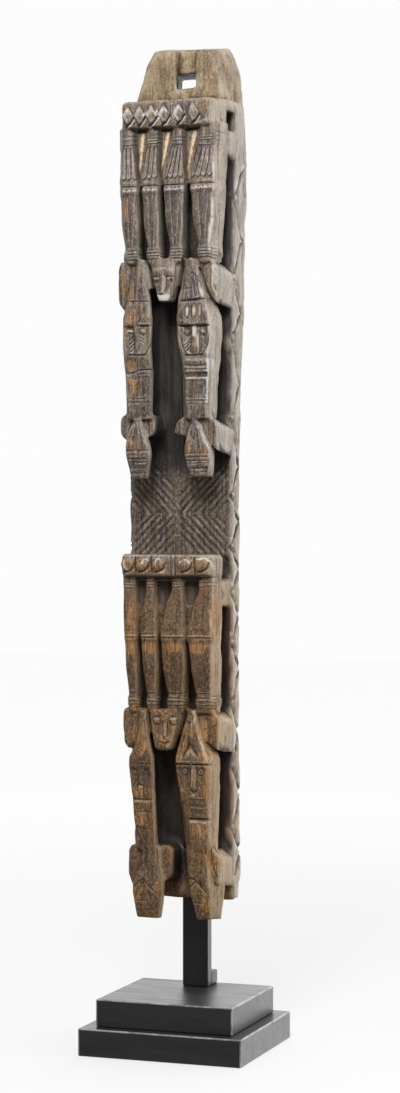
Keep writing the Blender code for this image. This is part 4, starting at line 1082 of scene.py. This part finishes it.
def patina(n):
    """Brown-grey above, warmer and crustier below, darker on the shafts and, as painted shade, on
    the panel.
    """
    grain = n.mix(n.times(n.low, 0.6), n.streak, n.crust)
    base = n.mix(n.band(grain, 0.36, 0.62), n.tone((70, 60, 54), (74, 58, 42)),
                 n.tone((164, 148, 132), (154, 126, 94)))
    base = n.mix(n.times(n.band(n.blotch, 0.50, 0.68), 0.55), base,
                 n.tone((108, 90, 74), (150, 102, 64)))
    # Rounded forms lighter: painted highlights.
    base = n.mix(n.times(n.band(n.form, 0.0, 0.6, 0.0, 0.25), n.band(n.blotch, 0.50, 0.36)),
                 base, n.tone((200, 188, 174), (194, 162, 124)))
    shaft = n.math("ADD", n.times(n.band(n.height, 1.156, 1.162), n.band(n.height, 1.262, 1.254)),
                   n.times(n.band(n.height, 0.50, 0.53), n.band(n.height, 0.60, 0.55)))
    base = n.mix(n.times(shaft, 0.55), base, n.tone((80, 68, 64), (76, 60, 46)))
    base = n.mix(n.times(n.attribute("grime"), n.band(n.blotch, 0.62, 0.46, 0.15, 0.55)), base,
                 n.tone((72, 62, 62), (70, 60, 52)))
    # The recessed panel darker: painted shade.
    panel = n.times(n.times(n.band(n.height, 0.725, 0.740), n.band(n.height, 0.868, 0.855)),
                    n.band(n.depth, -0.034, -0.028))
    base = n.mix(n.times(panel, 0.52), base, colour(66, 54, 46))
    # Patches lean to purple or to orange.
    hue = n.noise((44.0, 44.0, 20.0), 3.0, 0.6, shift=13.0)
    tint = n.mix(n.band(hue, 0.42, 0.58), (0.93, 0.87, 0.93, 1.0), (1.0, 0.88, 0.70, 1.0))
    return n.mix(0.85, base, tint, "MULTIPLY")


def weathered(n, base, flank):
    """Grey wood on the right side and the back, painted light on right-facing sides, tan on the
    tenon, golden bare wood.
    """
    grey = n.mix(n.band(n.fibre, 0.38, 0.62), colour(78, 68, 58), colour(182, 168, 148))
    base = n.mix(n.times(flank, 0.9), base, grey)
    # Right-facing sides paler and streaked: painted light from the right.
    sheen = n.times(n.side, n.band(n.streak, 0.36, 0.56, 0.35, 0.90))
    base = n.mix(n.times(sheen, n.band(n.depth, -0.026, -0.016, 1.0, 0.5)), base,
                 n.tone((210, 196, 178), (212, 184, 148)))
    tan = n.mix(n.band(n.blotch, 0.36, 0.64), colour(138, 108, 70), colour(184, 160, 120))
    tan = n.mix(n.band(n.streak, 0.34, 0.50, 0.35, 0.0), tan, colour(112, 86, 54))
    base = n.mix(n.times(n.band(n.height, 1.380, 1.392), 0.95), base, tan)
    gold = n.mix(n.band(n.fibre, 0.35, 0.65), n.tone((112, 76, 46), (146, 96, 54)),
                 n.tone((200, 154, 102), (222, 168, 108)))
    return n.mix(n.times(n.attribute("bare"), n.band(n.crust, 0.36, 0.50, 0.30, 0.90)), base, gold)


def flecked(n, base):
    """Fibres, crust and speckles, the light flecks partly painted glints; less of the dark ones on
    pale sides.
    """
    calm = n.math("SUBTRACT", 1.0, n.times(n.math("MAXIMUM", n.low, n.side), 0.45))
    base = n.mix(n.times(n.band(n.fibre, 0.34, 0.50, 0.55, 0.0), calm), base, colour(44, 36, 31))
    # Light crust: the crust's grain, with painted glints.
    base = n.mix(n.band(n.crust, 0.54, 0.68, 0.0, 0.50), base,
                 n.tone((204, 190, 174), (208, 166, 118)))
    base = n.mix(n.times(n.band(n.crust, 0.46, 0.34, 0.0, 0.60), calm), base, colour(38, 31, 26))
    # Light speckles: painted glints.
    base = n.mix(n.band(n.speckle, 0.60, 0.70, 0.0, 0.65), base,
                 n.tone((228, 218, 200), (226, 194, 150)))
    return n.mix(n.band(n.speckle, 0.42, 0.32, 0.0, 0.70), base, colour(34, 28, 24))


def wear_light_and_shade(n, base, flank, painted_highlight):
    """Wear and painted highlights on edges; cuts, creases and hollows darker, dirty and in painted
    shade; pale strips of painted light.
    """
    edge = n.attribute("edge")
    # Convex edges lighter: worn wood and painted highlights.
    base = n.mix(n.times(n.band(edge, 0.30, 0.95), n.band(n.blotch, 0.42, 0.62, 0.10, 0.55)),
                 base, n.tone((196, 184, 168), (192, 152, 104)))
    # Painted highlights along the glint strokes.
    base = n.mix(n.times(painted_highlight, 0.90), base, n.tone((240, 236, 228), (240, 218, 184)))
    # Creases darker: painted shade, and dirty wood.
    base = n.mix(n.band(edge, -0.20, -0.95, 0.0, 0.65), base, colour(38, 31, 27))
    # Cuts darker, most on the right-facing sides: dirty wood and painted shade.
    base = n.mix(n.times(n.attribute("groove"), n.band(flank, 0.0, 1.0, 0.65, 0.88)), base,
                 colour(32, 26, 22))
    # Places shut in by the carving darker: painted shade, and dirty wood.
    base = n.mix(n.band(n.attribute("open"), 0.05, 0.50, 0.60, 0.0), base, colour(36, 29, 25))
    # The deep hollows near black: painted shade over a sooty patina.
    base = n.mix(n.times(n.attribute("soot_and_shade"), 0.90), base,
                 n.mix(n.band(n.streak, 0.40, 0.62), colour(20, 17, 15), colour(44, 37, 33)))
    # Near-white strips on the web: painted light.
    return n.mix(n.times(n.attribute("pale"), n.band(n.crust, 0.38, 0.46, 0.35, 0.95)), base,
                 colour(255, 232, 190))


def wood_material():
    """Weathered wood under a dark handled patina, bare where it is worn or broken, with painted
    light and shade.
    """
    material = bpy.data.materials.new("carved_wood")
    n = Wood(material)
    flank = n.times(n.side, n.band(n.depth, -0.026, -0.010))
    painted_highlight = n.attribute("painted_highlight")
    base = flecked(n, weathered(n, patina(n), flank))
    base = wear_light_and_shade(n, base, flank, painted_highlight)
    polish = n.math("ADD", n.band(n.form, -0.2, 0.7, 0.56, 0.36),
                    n.band(n.crust, 0.3, 0.7, 0.0, 0.12))
    rough = n.math("ADD", n.times(n.fibre, 0.6), n.times(n.speckle, 0.4))
    n.finish(base, n.math("SUBTRACT", polish, n.times(painted_highlight, 0.12)), 0.55,
             n.math("ADD", rough, n.times(n.crust, 0.7)), 0.0007, 1.0)
    return material


def stand_material(name, shade, roughness, scale, corner=None):
    """Satin black paint, faintly streaked, with painted highlights along the edges that meet at a
    corner.
    """
    material = bpy.data.materials.new(name)
    n = Nodes(material)
    streak = n.noise(scale, 3.0, 0.6)
    base = n.mix(n.band(streak, 0.3, 0.7), colour(shade, shade, shade),
                 colour(shade + 9, shade + 9, shade + 10))
    # Painted highlights along the edges that meet at a corner, broken into patches by noise.
    if corner:
        place = n.add("ShaderNodeSeparateXYZ")
        n.put(place.inputs[0], n.places["Object"])
        near = [n.band(n.math("ABSOLUTE", axis), reach - 2.6 * MM, reach - 1.4 * MM)
                for axis, reach in zip(place.outputs, corner)]
        highlit = n.math("MAXIMUM", n.times(near[0], near[1]),
                        n.times(n.math("MAXIMUM", near[0], near[1]), near[2]))
        worn = n.noise((55.0, 55.0, 55.0), 3.0, 0.6, shift=4.0)
        base = n.mix(n.times(highlit, n.band(worn, 0.35, 0.60, 0.45, 1.0)), base,
                     colour(186, 186, 184))
    speck = n.noise((420.0, 420.0, 420.0), 2.0, 0.6, shift=8.0)
    base = n.mix(n.band(speck, 0.70, 0.78, 0.0, 0.5), base, colour(120, 120, 118))
    n.finish(base, n.band(streak, 0.3, 0.7, roughness, roughness + 0.08), 0.75, streak,
             0.0002, 0.25)
    return material


def floor_material():
    """Pale matt floor that glows a little, more so towards the horizon."""
    material = bpy.data.materials.new("floor_pale")
    n = Nodes(material)
    cloud = n.noise((3.0, 3.0, 3.0), 2.0, 0.5)
    n.put(n.shader.inputs["Base Color"], n.mix(n.band(cloud, 0.3, 0.7), (0.35, 0.35, 0.35, 1.0),
                                               (0.34475, 0.34475, 0.34475, 1.0)))
    away = n.add("ShaderNodeVectorMath", operation="LENGTH")
    n.put(away.inputs[0], n.places["Object"])
    n.put(n.shader.inputs["Emission Strength"],
          n.band(away.outputs["Value"], 0.2, 3.5, 0.66, 0.785))
    n.shader.inputs["Emission Color"].default_value = (1.0, 1.0, 1.0, 1.0)
    n.shader.inputs["Roughness"].default_value = 0.6
    n.shader.inputs["Specular IOR Level"].default_value = 0.0
    return material


# ---------------------------------------------------------------- stage

def area_light(name, place, target, size, power):
    """A soft light that looks at a point."""
    data = bpy.data.lights.new(name, "AREA")
    data.shape = "RECTANGLE"
    data.size, data.size_y = size
    data.energy = power
    item = bpy.data.objects.new(name, data)
    bpy.context.scene.collection.objects.link(item)
    item.location = place
    way = Vector(target) - Vector(place)
    item.rotation_euler = way.to_track_quat("-Z", "Y").to_euler()


def studio_world():
    """White behind the object; it lights more from behind and above than from the front."""
    world = bpy.data.worlds.new("studio")
    n = Nodes(world)
    place = n.add("ShaderNodeSeparateXYZ")
    n.put(place.inputs[0], n.places["Generated"])
    ambient = n.math("MULTIPLY_ADD", place.outputs["Z"], 0.10, 0.25)
    ambient = n.math("MULTIPLY_ADD", place.outputs["X"], 0.06, ambient)
    behind = n.math("POWER", n.math("MAXIMUM", place.outputs["Y"], 0.0), 3.0)
    seen = n.add("ShaderNodeMix")
    n.put(seen.inputs["Factor"], n.add("ShaderNodeLightPath").outputs["Is Camera Ray"])
    n.put(seen.inputs[2], n.math("MULTIPLY_ADD", behind, 2.3, ambient))
    seen.inputs[3].default_value = 0.98
    background = n.tree.nodes["Background"]
    background.inputs["Color"].default_value = (1.0, 1.0, 1.0, 1.0)
    n.put(background.inputs["Strength"], seen.outputs[0])
    return world


def make_stage():
    """Camera, light, white surroundings and a pale floor."""
    scene = bpy.context.scene
    data = bpy.data.cameras.new("camera")
    data.lens = LENS
    data.sensor_width = 36.0
    camera = bpy.data.objects.new("camera", data)
    scene.collection.objects.link(camera)
    camera.location = CAMERA_PLACE
    camera.rotation_euler = (math.radians(90.0), 0.0, math.radians(CAMERA_TURN))
    scene.camera = camera
    scene.view_settings.view_transform = "Standard"
    scene.world = studio_world()
    area_light("key", (0.35, -1.9, 2.5), (0.0, 0.0, 1.0), (0.8, 0.9), 41.0)
    area_light("side", (2.6, 0.3, 1.6), (0.0, 0.0, 0.7), (0.8, 1.8), 16.0)
    mesh = bpy.data.meshes.new("floor")
    half, below = 12.0, -0.5 * MM
    mesh.from_pydata([(-half, -half, below), (half, -half, below), (half, half, below),
                      (-half, half, below)], [], [(0, 1, 2, 3)])
    floor = bpy.data.objects.new("floor", mesh)
    scene.collection.objects.link(floor)
    mesh.materials.append(floor_material())
    floor.visible_diffuse = False
    floor.visible_glossy = False


# ---------------------------------------------------------------- put together

column = make_column()
column.data.materials.append(wood_material())
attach(column, "root")
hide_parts("carved_column")

lower = stand_material("plinth_black", 41, 0.36, ALONG_X, LOWER_CORNER)
upper = stand_material("plinth_black_upper", 41, 0.36, ALONG_X, UPPER_CORNER)
bar = stand_material("bar_black", 30, 0.42, ALONG_Z)
for node, finish in (("plinth_lower_tier", lower), ("plinth_upper_tier", upper),
                     ("bar_foot_block", bar), ("support_bar", bar)):
    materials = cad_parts[node].data.materials
    materials.clear()
    materials.append(finish)

make_stage()
